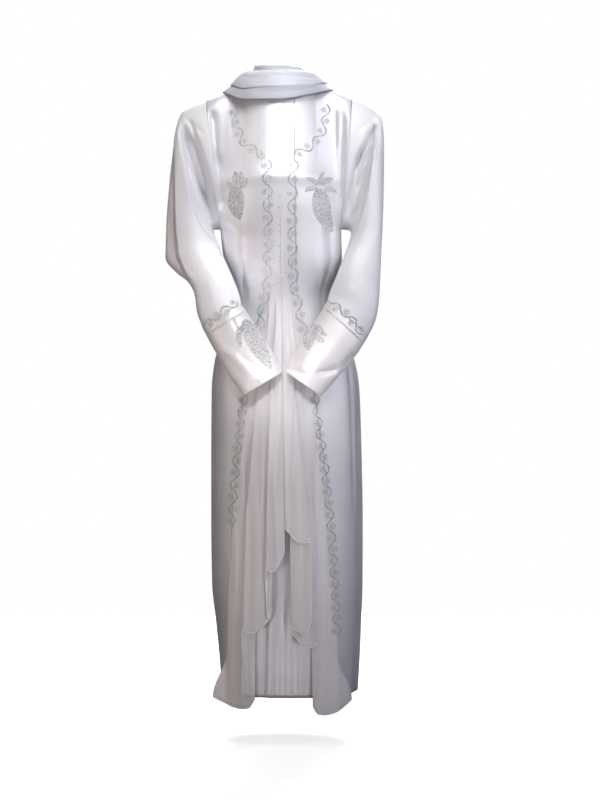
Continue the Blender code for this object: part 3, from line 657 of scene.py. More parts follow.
# The cuffs: deep, stiffer satin bands, pressed flat so that both edges are creased, and sewn to the
# sleeves under the bead scrolls. Their open mouths slant towards each other at the waist.
CUFF_PINCH = 0.40
PINCH_RUN = 1.5
CUFF_TURNS = 144
CUFF_STATIONS = 84

Cuff = namedtuple("Cuff", "outer_x outer_z inner_x inner_z middle_y half_y")
CUFFS = {
    -1: [
        Cuff(-0.172, -0.543, -0.086, -0.492, -0.128, 0.033),
        Cuff(-0.152, -0.58, -0.061, -0.529, -0.146, 0.031),
        Cuff(-0.131, -0.616, -0.039, -0.564, -0.162, 0.028),
        Cuff(-0.11, -0.651, -0.018, -0.597, -0.177, 0.025),
        Cuff(-0.079, -0.694, 0.006, -0.642, -0.193, 0.021),
    ],
    1: [
        Cuff(0.193, -0.563, 0.104, -0.483, -0.129, 0.033),
        Cuff(0.171, -0.598, 0.084, -0.519, -0.147, 0.031),
        Cuff(0.146, -0.629, 0.06, -0.556, -0.163, 0.028),
        Cuff(0.12, -0.659, 0.036, -0.594, -0.178, 0.025),
        Cuff(0.089, -0.694, 0.0105, -0.641, -0.194, 0.021),
    ],
}
CUFF_CREASES = {
    -1: [
        (-0.1079, -0.5217, -0.0856, -0.5606, 0.004, 0.002),
        (-0.074, -0.679, -0.04, -0.66, 0.0045, 0.0022),
        (-0.125, -0.585, -0.056, -0.652, 0.01, -0.0034),
        (-0.095, -0.6, -0.03, -0.648, 0.008, 0.0026),
    ],
    1: [
        (0.012, -0.625, 0.056, -0.595, 0.0085, 0.006),
        (0.0087, -0.629, 0.05, -0.64, 0.01, 0.004),
        (0.08, -0.643, 0.13, -0.63, 0.012, 0.0034),
        (0.0087, -0.634, 0.064, -0.648, 0.005, 0.004),
        (0.07, -0.648, 0.13, -0.635, 0.005, 0.0035),
        (0.13, -0.635, 0.165, -0.6, 0.007, 0.0032),
    ],
}
CUFF_BACK_CREASES = {
    -1: [(-0.135, -0.57, -0.05, -0.61, 0.009, 0.0024)],
    1: [(0.15, -0.59, 0.06, -0.62, 0.009, 0.0024)],
}


def cuff_grid(side):
    """The cuff's rings on a grid, pinched more and more at both creased edges over the first ring and
    a half, and the whole moved a seam's gap down the line of the cuff's outer edge."""
    rows = CUFFS[side]
    top, mouth = rows[0], rows[-1]
    run = (mouth.outer_x - top.outer_x, mouth.middle_y - top.middle_y, mouth.outer_z - top.outer_z)
    around, station = tube_grid(rows, side, CUFF_TURNS, CUFF_STATIONS)
    x, y, z = ring_point(rows, station, around, 1 + CUFF_PINCH * ease(station / PINCH_RUN))
    y = creased_tube(x, y, z, around, CUFF_CREASES[side], CUFF_BACK_CREASES[side])
    return np.stack([x + side * SEAM_GAP, y, z], axis=-1) + unit(run) * SEAM_GAP


rose_satin = cloth_finish(
    "rose_white_satin", (0.92, 0.90, 0.91, 1), (0.87, 0.82, 0.85, 1),
    roughness=0.42, lustre=0.25, sheen=0.2, weave=420.0,
)
arm_cloths = {}
for side, hand in HANDS.items():
    cuff = sewn_cloth(f"{hand}_cuff", cuff_grid(side), SATIN_WALL, rose_satin, around=True)
    finish_piece(cuff, f"cuff_{hand}")
    arm_cloths[side] = [sleeves[side], cuff]

# The chiffon fronts: two sheer panels let into the princess seams under the bead scrolls. Their hems
# climb from the skirt's hem to the middle, and the spare width hangs in a cascade of folds.
CHIFFON_WALL = 0.0007
CHIFFON_TOP = -0.425
TOP_FALL = 0.090
TURNS_START = -0.455
TURNS_FULL = -0.610
FOLDS_FULL = -1.000
FOLD_BEND = 0.0030
TOP_BEND = 0.20
LEAST_BACK = 0.0012
CHIFFON_CLEAR = 0.0045
LOBE_FLARE = 0.029
LOBE_DIP = 0.024
LOBE_WAYS = 1.5
LOBE_FORWARD = 0.006
LOBE_TOP = -1.270
HEM_SAG = 0.011
SIDE_LIMIT = 0.90
CHIFFON_STEPS = 16
CHIFFON_ROWS = 120

# Each fold turns back and turns again at shares of the way from the seam to the middle, and the hem
# has its own height at each turn. A fold takes four stretches of cloth: a run, a bend, the way back and
# a bend. FOLD_WAYS are the places along them where the hem's height is set.
FOLD_STRETCHES = 4
FOLD_WAYS = (1.5, 2.2, 2.6, 2.95, 3.5, 4.3)
Fold = namedtuple("Fold", "turns_back turns_again back_hem again_hem")
Front = namedtuple("Front", "area seam_hem meeting_hem folds")
CHIFFON = {
    -1: Front(0.135, -1.366, -1.034, [Fold(0.49, 0.27, -1.36, -1.205), Fold(0.77, 0.66, -1.16, -1.068)]),
    1: Front(0.125, -1.372, -0.984, [Fold(0.5, 0.42, -1.374, -1.236), Fold(0.9, 0.47, -1.195, -1.006)]),
}

# Soft uneven pleats across the chiffon: each a wave across, which drifts as it falls.
Ripple = namedtuple("Ripple", "pitch drift drift_pitch start height")
RIPPLES = [
    Ripple(0.041, 0.008, 0.62, 0.3, 0.0016),
    Ripple(0.0235, 0.005, 0.47, 0.75, 0.001),
    Ripple(0.013, 0.004, 0.33, 0.1, 0.0004),
]
RIPPLE_TOP = -0.440
RIPPLE_RUN = 0.260


def front_depth(x, height):
    """The plain front surface's depth at a place across it, by the equation of the rounded oval, held
    flat past the body's sides."""
    middle, half_width = girth_span(height)
    share = np.clip(np.abs(x - middle) / half_width, 0, SIDE_LIMIT)
    bulge = (1 - share ** BODY_SQUARENESS) ** (1 / BODY_SQUARENESS)
    return -by_height(GIRTHS, "front", height) * bulge


def rippled(x, z):
    """How far the pleats stand out: sine waves across the cloth, grown in from the top."""
    grown = ease((RIPPLE_TOP - z) / RIPPLE_RUN)
    waves = np.zeros_like(x)
    for wave in RIPPLES:
        place = x + wave.drift * np.sin(2 * np.pi * z / wave.drift_pitch)
        waves = waves + wave.height * np.sin(2 * np.pi * (place / wave.pitch + wave.start))
    return waves * grown


def fold_plan(folds, span, height, way):
    """The chiffon seen from above at a height: how far it has come along from the seam, and forward
    from the skirt. way counts its stretches: a run, then a bend, a way back and a bend for each fold,
    and another run. The bends turn in full below TURNS_FULL, and the ways back grow below that."""
    turn = np.pi * ease((TURNS_START - height) / (TURNS_START - TURNS_FULL))
    grown = ease((TURNS_FULL - height) / (TURNS_FULL - FOLDS_FULL))
    bend = np.pi * FOLD_BEND * (TOP_BEND + (1 - TOP_BEND) * turn / np.pi)
    along, forward, reached = np.zeros((3,) + height.shape)
    stretch = 0

    def go(length, start_angle, end_angle):
        """One stretch that turns evenly from one angle to another, as far as way has come in it. Its
        chord is its length times the sine of half its turn, over that half turn."""
        nonlocal along, forward, stretch
        share = np.clip(way - stretch, 0, 1)
        change = (end_angle - start_angle) * share
        mean = start_angle + change / 2
        chord = length * share * np.sinc(change / (2 * np.pi))
        along = along + chord * np.cos(mean)
        forward = forward + chord * np.sin(mean)
        stretch += 1

    for fold in folds:
        full_back = (fold.turns_back - fold.turns_again) * span - 2 * FOLD_BEND
        back = LEAST_BACK + grown * (full_back - LEAST_BACK)
        step = 2 * bend * np.sinc(turn / np.pi) + back * np.cos(turn)
        middle = (fold.turns_back + fold.turns_again) / 2 * span
        go(middle - step / 2 - reached, 0 * turn, 0 * turn)
        go(bend, 0 * turn, turn)
        go(back, turn, turn)
        go(bend, turn, 0 * turn)
        reached = middle + step / 2
    go(span - reached, 0 * turn, 0 * turn)
    return along, forward


def chiffon_grid(side):
    """A chiffon front: way counts its stretches from the seam, and v runs evenly from the top, which
    falls by a square towards the seam, to the hem. The lobe at its foot dips by a sine."""
    front = CHIFFON[side]
    last = FOLD_STRETCHES * len(front.folds) + 1
    hem_ways, hems = [0.0], [front.seam_hem]
    for number, fold in enumerate(front.folds):
        hem_ways += [FOLD_STRETCHES * number + at for at in FOLD_WAYS]
        sag = HEM_SAG if number else 0.0
        sagged = fold.back_hem - sag
        hems += [fold.back_hem, sagged, sagged - sag, sagged + sag]
        hems += [fold.again_hem, fold.again_hem - HEM_SAG]
    hem_ways.append(float(last))
    hems.append(front.meeting_hem)
    ways = np.arange(last * CHIFFON_STEPS + 1) / CHIFFON_STEPS
    way, v = np.meshgrid(ways[::-side], np.linspace(0, 1, CHIFFON_ROWS))
    top = CHIFFON_TOP - TOP_FALL * (1 - way / last) ** 2
    z = top + (smooth_curve(hem_ways, hems, way) - top) * v
    seam = by_height(SEAMS, HANDS[side], z)
    meeting = by_height(SEAMS, "meeting", z) + side * SEAM_GAP
    along, forward = fold_plan(front.folds, np.abs(meeting - seam), z, way)
    low = ease((LOBE_TOP - z) / (LOBE_TOP - HEM))
    lobe = np.clip(1 - way / LOBE_WAYS, 0, 1)
    x = seam - side * along + side * LOBE_FLARE * low * lobe
    y = front_depth(x, z) - CHIFFON_CLEAR - forward - LOBE_FORWARD * low - rippled(x, z)
    dip = LOBE_DIP * low * np.sin(np.pi * np.clip(way / LOBE_WAYS, 0, 1))
    return np.stack([x, y, z - dip], axis=-1)


sheer_chiffon = cloth_finish(
    "sheer_chiffon", (0.93, 0.91, 0.93, 1), (0.87, 0.84, 0.87, 1),
    roughness=0.8, lustre=0.0, sheen=0.5, weave=700.0, alpha=0.92,
)
chiffons = {}
for side, hand in HANDS.items():
    chiffons[side] = sewn_cloth(f"{hand}_chiffon", chiffon_grid(side), CHIFFON_WALL, sheer_chiffon)
    finish_piece(chiffons[side], f"chiffon_{hand}")

# The rolled hems of the chiffon: the raw edge is turned under and oversewn with white thread. Its colour
# is set whiter than the chiffon, partly a painted highlight, so it shows as a thin bright rim along every
# fold of the cascade.
HEM_ROLL = 0.0015
HEM_SIDES = 8


def rolled_hem(name, path, finish):
    """A round cord carried along the hem: at each point a ring in the plane across the hem's line."""
    along = unit(np.gradient(path, axis=0))
    aside = unit(np.cross(along, [0.0, 0.0, 1.0]))
    over = np.cross(aside, along)
    angle = np.arange(HEM_SIDES) * 2 * np.pi / HEM_SIDES
    ring = aside[:, None] * np.cos(angle)[:, None] + over[:, None] * np.sin(angle)[:, None]
    points = path[:, None] + HEM_ROLL * ring
    number = np.arange(points[..., 0].size).reshape(points.shape[:2])
    after = np.roll(number, -1, axis=1)
    quads = np.stack([number[:-1], after[:-1], after[1:], number[1:]], axis=-1).reshape(-1, 4)
    ends = [number[0, ::-1].tolist(), number[-1].tolist()]
    cord = new_piece(name, points, quads.tolist() + ends, finish)
    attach(cord, "root")
    return cord


# White thread whose colour is set whiter than the chiffon: partly real thread, partly a painted highlight.
hem_thread_highlight = cloth_finish(
    "hem_thread_highlight", (0.98, 0.98, 0.98, 1), (0.95, 0.95, 0.95, 1),
    roughness=0.6, lustre=0.0, sheen=0.3, weave=900.0,
)
hems = {side: rolled_hem(f"{HANDS[side]}_rolled_hem", chiffon_grid(side)[-1], hem_thread_highlight) for side in HANDS}

# The bead scrolls down the princess seams: silver-lined glass beads sewn on one by one as a wavy vine
# with a small rosette in each hollow. They start at the breast and run on below the cuffs.
BEAD = 0.00115
BEAD_PITCH = 0.0025
BEAD_SPREAD = 0.12
BEAD_SIDES = 6
BEAD_WAIST = 0.90
BEAD_SHOULDER = 0.45
BEAD_POLE = 0.85
BEAD_SIT = 0.55
SIGHT_FROM = -1.0
VINE_GAP = 0.0021
VINE_SWING = 0.0100
VINE_FULLNESS = 0.8
VINE_STEPS = 400
ROSETTE_OFFSET = 0.0050
ROSETTE_PITCH = 0.0300
ROSETTE_RING = 0.0058
ROSETTE_BEADS = 15
ROSETTE_MIDDLE = 0.0019
INNER_RING = 0.42
INNER_BEADS = 5
INNER_BEAD = BEAD * 0.8
TAIL_ASIDE = 1.3
TAIL_ALONG = 1.2
TAIL_BEAD = BEAD * 1.3

# The middle line of each scroll, by x and z.
BREAST_SCROLLS = {
    -1: [
        (-0.031, -0.168), (-0.0289, -0.246), (-0.0284, -0.372),
        (-0.0318, -0.456), (-0.0406, -0.493), (-0.047, -0.548),
    ],
    1: [
        (0.0279, -0.168), (0.0264, -0.246), (0.0257, -0.372),
        (0.0301, -0.456), (0.039, -0.493), (0.0515, -0.56),
    ],
}
SKIRT_SCROLLS = {
    -1: [(-0.08, -0.69), (-0.087, -0.736), (-0.1, -0.858), (-0.11, -0.985)],
    1: [(0.074, -0.69), (0.081, -0.736), (0.098, -0.858), (0.112, -0.991), (0.125, -1.225)],
}
bead_chance = np.random.default_rng(11)


def along_path(path, at, length):
    """The points of a path at these distances from its start."""
    return np.stack([np.interp(at, length, path[:, 0]), np.interp(at, length, path[:, 1])], axis=-1)


def bead_run(path, pitch=BEAD_PITCH, size=BEAD):
    """Beads at even steps along a line through the path's points: across, height and radius."""
    length = running_length(path)
    count = max(int(length[-1] / pitch), 1)
    at = (np.arange(count) + 0.5) * length[-1] / count
    return np.column_stack([along_path(path, at, length), np.full(count, size)])


def bead_ring(middle, radius, count, size):
    """Beads at even steps round a circle."""
    turn = np.arange(count) * 2 * np.pi / count
    x = middle[0] + radius * np.cos(turn)
    return np.column_stack([x, middle[1] + radius * np.sin(turn), np.full(count, size)])


def scroll(path, pitch=ROSETTE_PITCH, swing=VINE_SWING, share=1.0):
    """A vine of two rows of beads that swings from side to side of the path, half a wave for each
    rosette, and a rosette on the path's other side in each hollow: a ring of beads round a smaller
    ring and a larger bead, and a loose bead beyond it. share scales it."""
    path = np.array(path)
    length = running_length(path)
    count = max(int(round(length[-1] / pitch)), 1)
    step = length[-1] / count
    at = np.linspace(0, length[-1], VINE_STEPS)
    line = along_path(path, at, length)
    along = unit(np.gradient(line, axis=0))
    aside = np.stack([-along[:, 1], along[:, 0]], axis=-1)
    wave = np.cos(np.pi * (at / step - 0.5))
    vine = line + aside * (share * swing * signed_power(wave, VINE_FULLNESS))[:, None]
    beads = [bead_run(vine), bead_run(vine + aside * VINE_GAP)]
    ring = ROSETTE_RING * share
    for number in range(count):
        here = int(np.searchsorted(at, (number + 0.5) * step))
        across = aside[here] * (-1) ** number
        spot = line[here] - across * ROSETTE_OFFSET * share
        tail = spot + across * ring * TAIL_ASIDE + along[here] * ring * TAIL_ALONG
        beads.append(bead_ring(spot, ring, int(ROSETTE_BEADS * share), BEAD))
        beads.append(bead_ring(spot, ring * INNER_RING, INNER_BEADS, INNER_BEAD))
        beads.append([(*spot, ROSETTE_MIDDLE * share), (*tail, TAIL_BEAD)])
    return np.concatenate(beads)


def surface_under(carriers):
    """A search tree over the outer faces of the pieces that the beads are sewn to."""
    corners, faces, start = [], [], 0
    for carrier in carriers:
        mesh = carrier.data
        found = np.empty(len(mesh.vertices) * 3)
        mesh.vertices.foreach_get("co", found)
        corners.append(found.reshape(-1, 3))
        loops = np.empty(len(mesh.loops), dtype=int)
        mesh.loops.foreach_get("vertex_index", loops)
        faces.append(loops.reshape(-1, 4) + start)
        start += len(mesh.vertices)
    return BVHTree.FromPolygons(np.concatenate(corners).tolist(), np.concatenate(faces).tolist())


def sewn_beads(name, places, carriers, finish):
    """Each bead is a six-sided barrel with round ends, set by a line of sight from the front on the
    cloth below it, its hole's axis square to the cloth. All of them are one joined mesh."""
    tree = surface_under(carriers)
    hits = [tree.ray_cast(Vector((x, SIGHT_FROM, z)), Vector((0, 1, 0))) for x, z, _ in places.tolist()]
    found = [(tuple(hit[0]), tuple(hit[1]), size) for hit, (_, _, size) in zip(hits, places) if hit[0]]
    foot = np.array([spot for spot, _, _ in found])
    normal = np.array([direction for _, direction, _ in found])
    normal = normal * np.where(normal[:, 1:2] > 0, -1, 1)
    size = np.array([radius for _, _, radius in found])[:, None]
    size = size * (1 + BEAD_SPREAD * bead_chance.uniform(-1, 1, size.shape))
    level = unit(np.cross(normal, [0.0, 0.0, 1.0]))
    rise = np.cross(level, normal)
    turn = np.arange(BEAD_SIDES) * 2 * np.pi / BEAD_SIDES
    rim = BEAD_WAIST * np.stack([np.cos(turn), np.sin(turn), 0 * turn], axis=-1)
    shoulder, pole = [0, 0, BEAD_SHOULDER], np.array([[0, 0, BEAD_POLE]])
    shape = np.concatenate([-pole, rim - shoulder, rim + shoulder, pole])
    frames = np.stack([level, rise, normal], axis=1)
    middle = foot + normal * size * BEAD_SIT
    points = middle[:, None] + size[:, None] * np.einsum("pk,nkj->npj", shape, frames)
    low = 1 + np.arange(BEAD_SIDES)
    low_after = np.roll(low, -1)
    high, high_after = low + BEAD_SIDES, low_after + BEAD_SIDES
    foot_pole, top_pole = 0 * low, 0 * low + len(shape) - 1
    bands = [(foot_pole, low_after, low), (low, low_after, high_after), (low, high_after, high)]
    bands += [(high, high_after, top_pole)]
    one = np.concatenate([np.stack(band, axis=-1) for band in bands])
    faces = one[None] + (np.arange(len(points)) * len(shape))[:, None, None]
    piece = new_piece(name, points, faces.reshape(-1, 3).tolist(), finish)
    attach(piece, "root")


def bead_finish(name, dark, pale, lustre, roughness):
    """Silver-lined glass: tones that change from bead to bead, whose palest patches are painted glints."""
    made = new_finish(name, Metallic=lustre, Roughness=roughness)
    where = add_node(made.node_tree, "ShaderNodeTexCoord")
    drifting_tones(made.node_tree, where, patches=380.0, detail=1.0, spread=0.12, dark=dark, pale=pale)
    return made


# The silver beads' pale tone stands in for small glints: painted highlights among their own tones.
silver_beads = bead_finish("silver_beads", (0.36, 0.40, 0.39, 1), (0.84, 0.88, 0.87, 1), 0.15, 0.30)
breast_cloths = [centre_front, side_front_left, side_front_right]
skirt_cloths = breast_cloths + list(chiffons.values())
for side, path in BREAST_SCROLLS.items():
    sewn_beads(f"{HANDS[side]}_breast_scroll", scroll(path), skirt_cloths, silver_beads)
for side, path in SKIRT_SCROLLS.items():
    beads = scroll(path, pitch=0.026, swing=0.0085)
    sewn_beads(f"{HANDS[side]}_skirt_scroll", beads, skirt_cloths, silver_beads)

# The neck scroll: the same vine and rosettes in a U round the yoke, from shoulder to shoulder, where
# it frames the plain breast and meets the two seam scrolls.
NECK_SCROLLS = {
    -1: [(-0.109, -0.04), (-0.1, -0.091), (-0.085, -0.1244), (-0.0546, -0.1511), (-0.031, -0.1645)],
    1: [(0.102, -0.0354), (0.099, -0.0799), (0.0857, -0.1155), (0.06, -0.14), (0.03, -0.16)],
}
for side, path in NECK_SCROLLS.items():
    beads = scroll(path, pitch=0.026, share=0.85)
    sewn_beads(f"{HANDS[side]}_neck_scroll", beads, breast_cloths, silver_beads)

# The cuff seams: a scroll of four rosettes on each sleeve just above the seam, and two straight strings
# of beads side by side along the top of the cuff itself, a thick one and a fine one.
CUFF_SCROLLS = {
    -1: [(-0.164, -0.541), (-0.129, -0.513), (-0.093, -0.486)],
    1: [(0.112, -0.493), (0.14, -0.511), (0.16, -0.533), (0.18, -0.559)],
}
CUFF_STRINGS = {
    -1: [(-0.159, -0.557), (-0.08, -0.509)],
    1: [(0.099, -0.501), (0.178, -0.572)],
}
FINE_STRING_DROP = 0.0036
for side, path in CUFF_SCROLLS.items():
    string = np.array(CUFF_STRINGS[side])
    beads = [
        scroll(path, pitch=0.0225, swing=0.0085, share=0.95),
        bead_run(string, pitch=0.0048, size=0.0016),
        bead_run(string - [0.0, FINE_STRING_DROP], pitch=0.0030, size=0.0010),
    ]
    sewn_beads(f"{HANDS[side]}_cuff_scroll", np.concatenate(beads), arm_cloths[side], silver_beads)

# The paisley motifs: solid bead embroidery on each side of the breast and on the inner half of each
# cuff, with nested rows of beads in a curled drop and a crown of small leaves.
LEAF_STEPS = 60
LEAF_SWELL = 1.55
LEAF_TIP = 0.75
NEST_GAP = 0.0036

Leaf = namedtuple("Leaf", "x height length half_width angle curl")
PAISLEYS = {
    "left_breast_motif": [
        Leaf(-0.098, -0.226, 0.074, 0.027, 262, 0.16),
        Leaf(-0.098, -0.222, 0.029, 0.007, 118, -0.3),
        Leaf(-0.094, -0.221, 0.03, 0.007, 88, 0.2),
        Leaf(-0.09, -0.222, 0.029, 0.007, 58, 0.35),
        Leaf(-0.089, -0.229, 0.026, 0.0065, 22, 0.35),
        Leaf(-0.103, -0.229, 0.025, 0.0065, 160, -0.35),
    ],
    "right_breast_motif": [
        Leaf(0.09, -0.23, 0.1, 0.029, 262, 0.26),
        Leaf(0.088, -0.224, 0.031, 0.0075, 92, -0.2),
        Leaf(0.092, -0.224, 0.032, 0.0075, 62, -0.3),
        Leaf(0.084, -0.226, 0.031, 0.007, 124, 0.3),
        Leaf(0.082, -0.233, 0.029, 0.0065, 160, 0.4),
        Leaf(0.098, -0.233, 0.029, 0.0065, 24, -0.35),
    ],
    "left_cuff_motif": [
        Leaf(-0.08, -0.526, 0.123, 0.027, 297, 0.02),
        Leaf(-0.085, -0.542, 0.03, 0.008, 236, 0.3),
        Leaf(-0.086, -0.556, 0.032, 0.008, 246, 0.3),
    ],
    "right_cuff_motif": [
        Leaf(0.076, -0.536, 0.06, 0.021, 238, 0.2),
        Leaf(0.07, -0.542, 0.028, 0.0075, 196, 0.3),
        Leaf(0.084, -0.54, 0.03, 0.0075, 282, 0.3),
        Leaf(0.076, -0.556, 0.03, 0.007, 290, 0.3),
    ],
}


def leaf_beads(leaf):
    """Nested rows of beads in a drop: its midrib bends evenly by curl half turns over its length, and
    its half width swells as the square root of the way along and closes at the tip."""
    t = np.linspace(0, 1, LEAF_STEPS)
    heading = np.radians(leaf.angle) + np.pi * leaf.curl * t
    step = leaf.length / (LEAF_STEPS - 1)
    rib_x = leaf.x + np.cumsum(np.cos(heading)) * step
    rib_z = leaf.height + np.cumsum(np.sin(heading)) * step
    swell = LEAF_SWELL * np.sqrt(t) * (1 - t) ** LEAF_TIP
    rows = []
    for nest in np.arange(leaf.half_width, 0, -NEST_GAP):
        for way in (-1, 1):
            across = way * nest * swell
            edge = np.stack([rib_x - across * np.sin(heading), rib_z + across * np.cos(heading)], axis=-1)
            rows.append(bead_run(edge, pitch=0.0029, size=0.00125))
    return np.concatenate(rows)


# The motif beads' pale tone is pure white: painted glints among their own silver tones.
motif_beads = bead_finish("motif_beads", (0.40, 0.42, 0.43, 1), (1.0, 1.0, 1.0, 1), 0.15, 0.25)
motif_cloths = [breast_cloths, breast_cloths, arm_cloths[-1], arm_cloths[1]]
for (name, leaves), cloths in zip(PAISLEYS.items(), motif_cloths):
    sewn_beads(name, np.concatenate([leaf_beads(leaf) for leaf in leaves]), cloths, motif_beads)

# The button row: twelve small glass beads sewn down the fold of the placket, unevenly spaced, from the
# breast to just above the cuffs.
BUTTON = 0.0017
BUTTON_X = -0.0030
BUTTON_HEIGHTS = [
    -0.2534, -0.2766, -0.2976, -0.3164, -0.3297, -0.3617,
    -0.3871, -0.3949, -0.4070, -0.4434, -0.4612, -0.4755,
]
buttons = np.array([(BUTTON_X, height, BUTTON) for height in BUTTON_HEIGHTS])
sewn_beads("button_beads", buttons, breast_cloths + [chiffons[-1]], silver_beads)

# The cowl: a soft band of satin round the neck, which stands up and then falls over itself in two
# drapes, the lower one on the shoulders. Its satin is duller than that of the body, and its colour is
# set darker and greyer as painted shade over the whole cowl.
COWL_MIDDLE_X = -0.003
COWL_DEPTH = 1.04
STAND_BULGE = 0.002
COWL_CLEAR = 0.0018
UPPER_START = 0.30
UPPER_END = 0.74
LOWER_START = 0.72
COWL_TURNS = 240
TURN_LENGTH = 10.0

Cowl = namedtuple(
    "Cowl",
    "turn top_reach top_height foot_reach foot_height upper_swell upper_sag"
    " lower_swell lower_sag edge_reach edge_height",
)
COWL = [
    Cowl(0.0, 0.056, 0.047, 0.063, 0.004, 0.086, 0.047, 0.11, 0.024, 0.1, -0.0345),
    Cowl(0.125, 0.055, 0.047, 0.064, 0.007, 0.083, 0.05, 0.106, 0.028, 0.1, -0.018),
    Cowl(0.25, 0.057, 0.052, 0.066, 0.012, 0.078, 0.056, 0.092, 0.034, 0.124, 0.0034),
    Cowl(0.375, 0.056, 0.064, 0.062, 0.018, 0.074, 0.062, 0.092, 0.036, 0.092, -0.0008),
    Cowl(0.5, 0.056, 0.071, 0.058, 0.022, 0.072, 0.062, 0.092, 0.032, 0.0845, -0.0098),
    Cowl(0.625, 0.057, 0.069, 0.062, 0.02, 0.076, 0.062, 0.092, 0.034, 0.093, -0.0028),
    Cowl(0.75, 0.056, 0.061, 0.066, 0.012, 0.082, 0.054, 0.092, 0.03, 0.13, -0.001),
    Cowl(0.875, 0.056, 0.052, 0.065, 0.007, 0.085, 0.047, 0.11, 0.02, 0.108, -0.03),
]

# The cowl's folds, on its own grid: across counts tenths of a turn from the front, and down runs
# from 0 at the start of a drape to 1 at its edge.
LOWER_FOLDS = [
    (-2.2, 0.4, 1.6, 0.52, 0.1, 0.0022),
    (-1.6, 0.62, 2.2, 0.7, 0.08, -0.0018),
    (-1.2, 0.84, 1.4, 0.86, 0.06, 0.0012),
    (-4.6, 0.5, -2.6, 0.62, 0.1, 0.002),
    (2.4, 0.5, 4.6, 0.66, 0.1, 0.002),
]
UPPER_FOLDS = [
    (-1.5, 0.16, 0.2, 0.46, 0.07, 0.003),
    (-1.2, 0.3, 0.9, 0.42, 0.05, -0.0024),
    (0.7, 0.44, 2.2, 0.66, 0.06, -0.0022),
    (-0.6, 0.62, 2.0, 0.84, 0.08, 0.0026),
    (-2.4, 0.6, -0.6, 0.75, 0.1, 0.0014),
    (-4.7, 0.35, -2.8, 0.55, 0.12, 0.0016),
    (2.6, 0.3, 4.7, 0.6, 0.12, 0.0016),
]


def around_neck(names, turn):
    """Some columns of the cowl's table at any turn, closed all round."""
    turns = column(COWL, "turn")
    places = [turns[-1] - 1] + turns + [1.0, 1.0 + turns[1]]
    rounds = [[values[-1]] + values + values[:2] for values in (column(COWL, name) for name in names.split())]
    return [smooth_curve(places, values, np.mod(turn, 1.0)) for values in rounds]


def neck_ring(turn, reach, height):
    """A ring round the neck: across by the sine of the turn, and forward by its cosine."""
    angle = turn * 2 * np.pi
    x = COWL_MIDDLE_X + reach * np.sin(angle)
    return np.stack([x, -reach * COWL_DEPTH * np.cos(angle), height + 0 * x], axis=-1)


def outwards(turn, amount):
    """A level step away from the neck, across by the sine of the turn and forward by its cosine."""
    angle = turn * 2 * np.pi
    return (amount * np.stack([np.sin(angle), -np.cos(angle), 0 * angle], axis=0)).transpose(1, 2, 0)


def neck_stand(turn, t):
    """The inner band of the cowl: straight from its top edge to its foot, with a low arch outwards."""
    top_reach, top_height = around_neck("top_reach top_height", turn)
    foot_reach, foot_height = around_neck("foot_reach foot_height", turn)
    reach = top_reach * (1 - t) + foot_reach * t + STAND_BULGE * np.sin(np.pi * t)
    return neck_ring(turn, reach, top_height * (1 - t) + foot_height * t)


def bow(start, pull, end, t):
    """A curve from start to end that is drawn out towards pull. The three count by the square of
    1 - t, by twice t times 1 - t and by the square of t."""
    t = np.asarray(t)[..., None]
    return (1 - t) ** 2 * start + 2 * t * (1 - t) * pull + t * t * end


def lower_drape(turn, t):
    """The lower drape: a bow from low on the stand, over its swell, to its edge on the shoulders."""
    start = neck_stand(turn, LOWER_START) + outwards(turn, COWL_CLEAR)
    pull = neck_ring(turn, *around_neck("lower_swell lower_sag", turn))
    return bow(start, pull, neck_ring(turn, *around_neck("edge_reach edge_height", turn)), t)


def upper_drape(turn, t):
    """The upper drape: a bow from high on the stand, over its swell, to its edge on the lower drape."""
    start = neck_stand(turn, UPPER_START) + outwards(turn, COWL_CLEAR)
    pull = neck_ring(turn, *around_neck("upper_swell upper_sag", turn))
    end = lower_drape(turn, UPPER_END) + [0, 0, COWL_CLEAR] + outwards(turn, COWL_CLEAR / 2)
    return bow(start, pull, end, t)


def cowl_cloth(name, node, form, rows, folds):
    """A stretch of the cowl all round the neck, with its folds pressed in towards the neck."""
    turn, t = np.meshgrid(np.arange(COWL_TURNS) / COWL_TURNS, np.linspace(0, 1, rows))
    across = (np.mod(turn + 0.5, 1.0) - 0.5) * TURN_LENGTH
    sunk = pressed(across, t, folds) * np.sqrt(np.sin(np.pi * t))
    points = form(turn, t) - outwards(turn, sunk)
    piece = sewn_cloth(name, points, SATIN_WALL, cowl_satin_painted_shade, around=True)
    finish_piece(piece, node)


# The body's white satin with its colour set darker and greyer: painted shade on the cowl.
cowl_satin_painted_shade = cloth_finish(
    "cowl_satin_painted_shade", (0.59, 0.61, 0.68, 1), (0.53, 0.54, 0.61, 1),
    roughness=0.64, lustre=0.06, sheen=0.1, weave=420.0,
)
cowl_cloth("inner_cowl_stand", "cowl_stand", neck_stand, rows=24, folds=[])
cowl_cloth("upper_cowl_drape", "cowl_upper", upper_drape, rows=28, folds=UPPER_FOLDS)
cowl_cloth("lower_cowl_drape", "cowl_lower", lower_drape, rows=36, folds=LOWER_FOLDS)

# The studio: a plain pale floor under the hem and soft light, strongest over the shoulders, so that
# the chest is brightest and the skirt falls into shade. The camera sees plain white around it.
FLOOR_HEIGHT = -1.470
FLOOR_CORNERS = [(-1.70, -0.80), (1.70, -0.80), (1.70, 2.40), (-1.70, 2.40)]
corners = np.array([(x, y, FLOOR_HEIGHT) for x, y in FLOOR_CORNERS])
pale_floor = new_finish(
    "pale_floor", Base_Color=(0.95, 0.95, 0.95, 1), Roughness=0.9,
    Emission_Color=(1, 1, 1, 1), Emission_Strength=0.75,
)
floor = new_piece("floor", corners, [(0, 1, 2, 3)], pale_floor)
# The floor reads white by its own light and gives none back, so the skirt can fall into shade.
floor.visible_diffuse = False
floor.visible_glossy = False

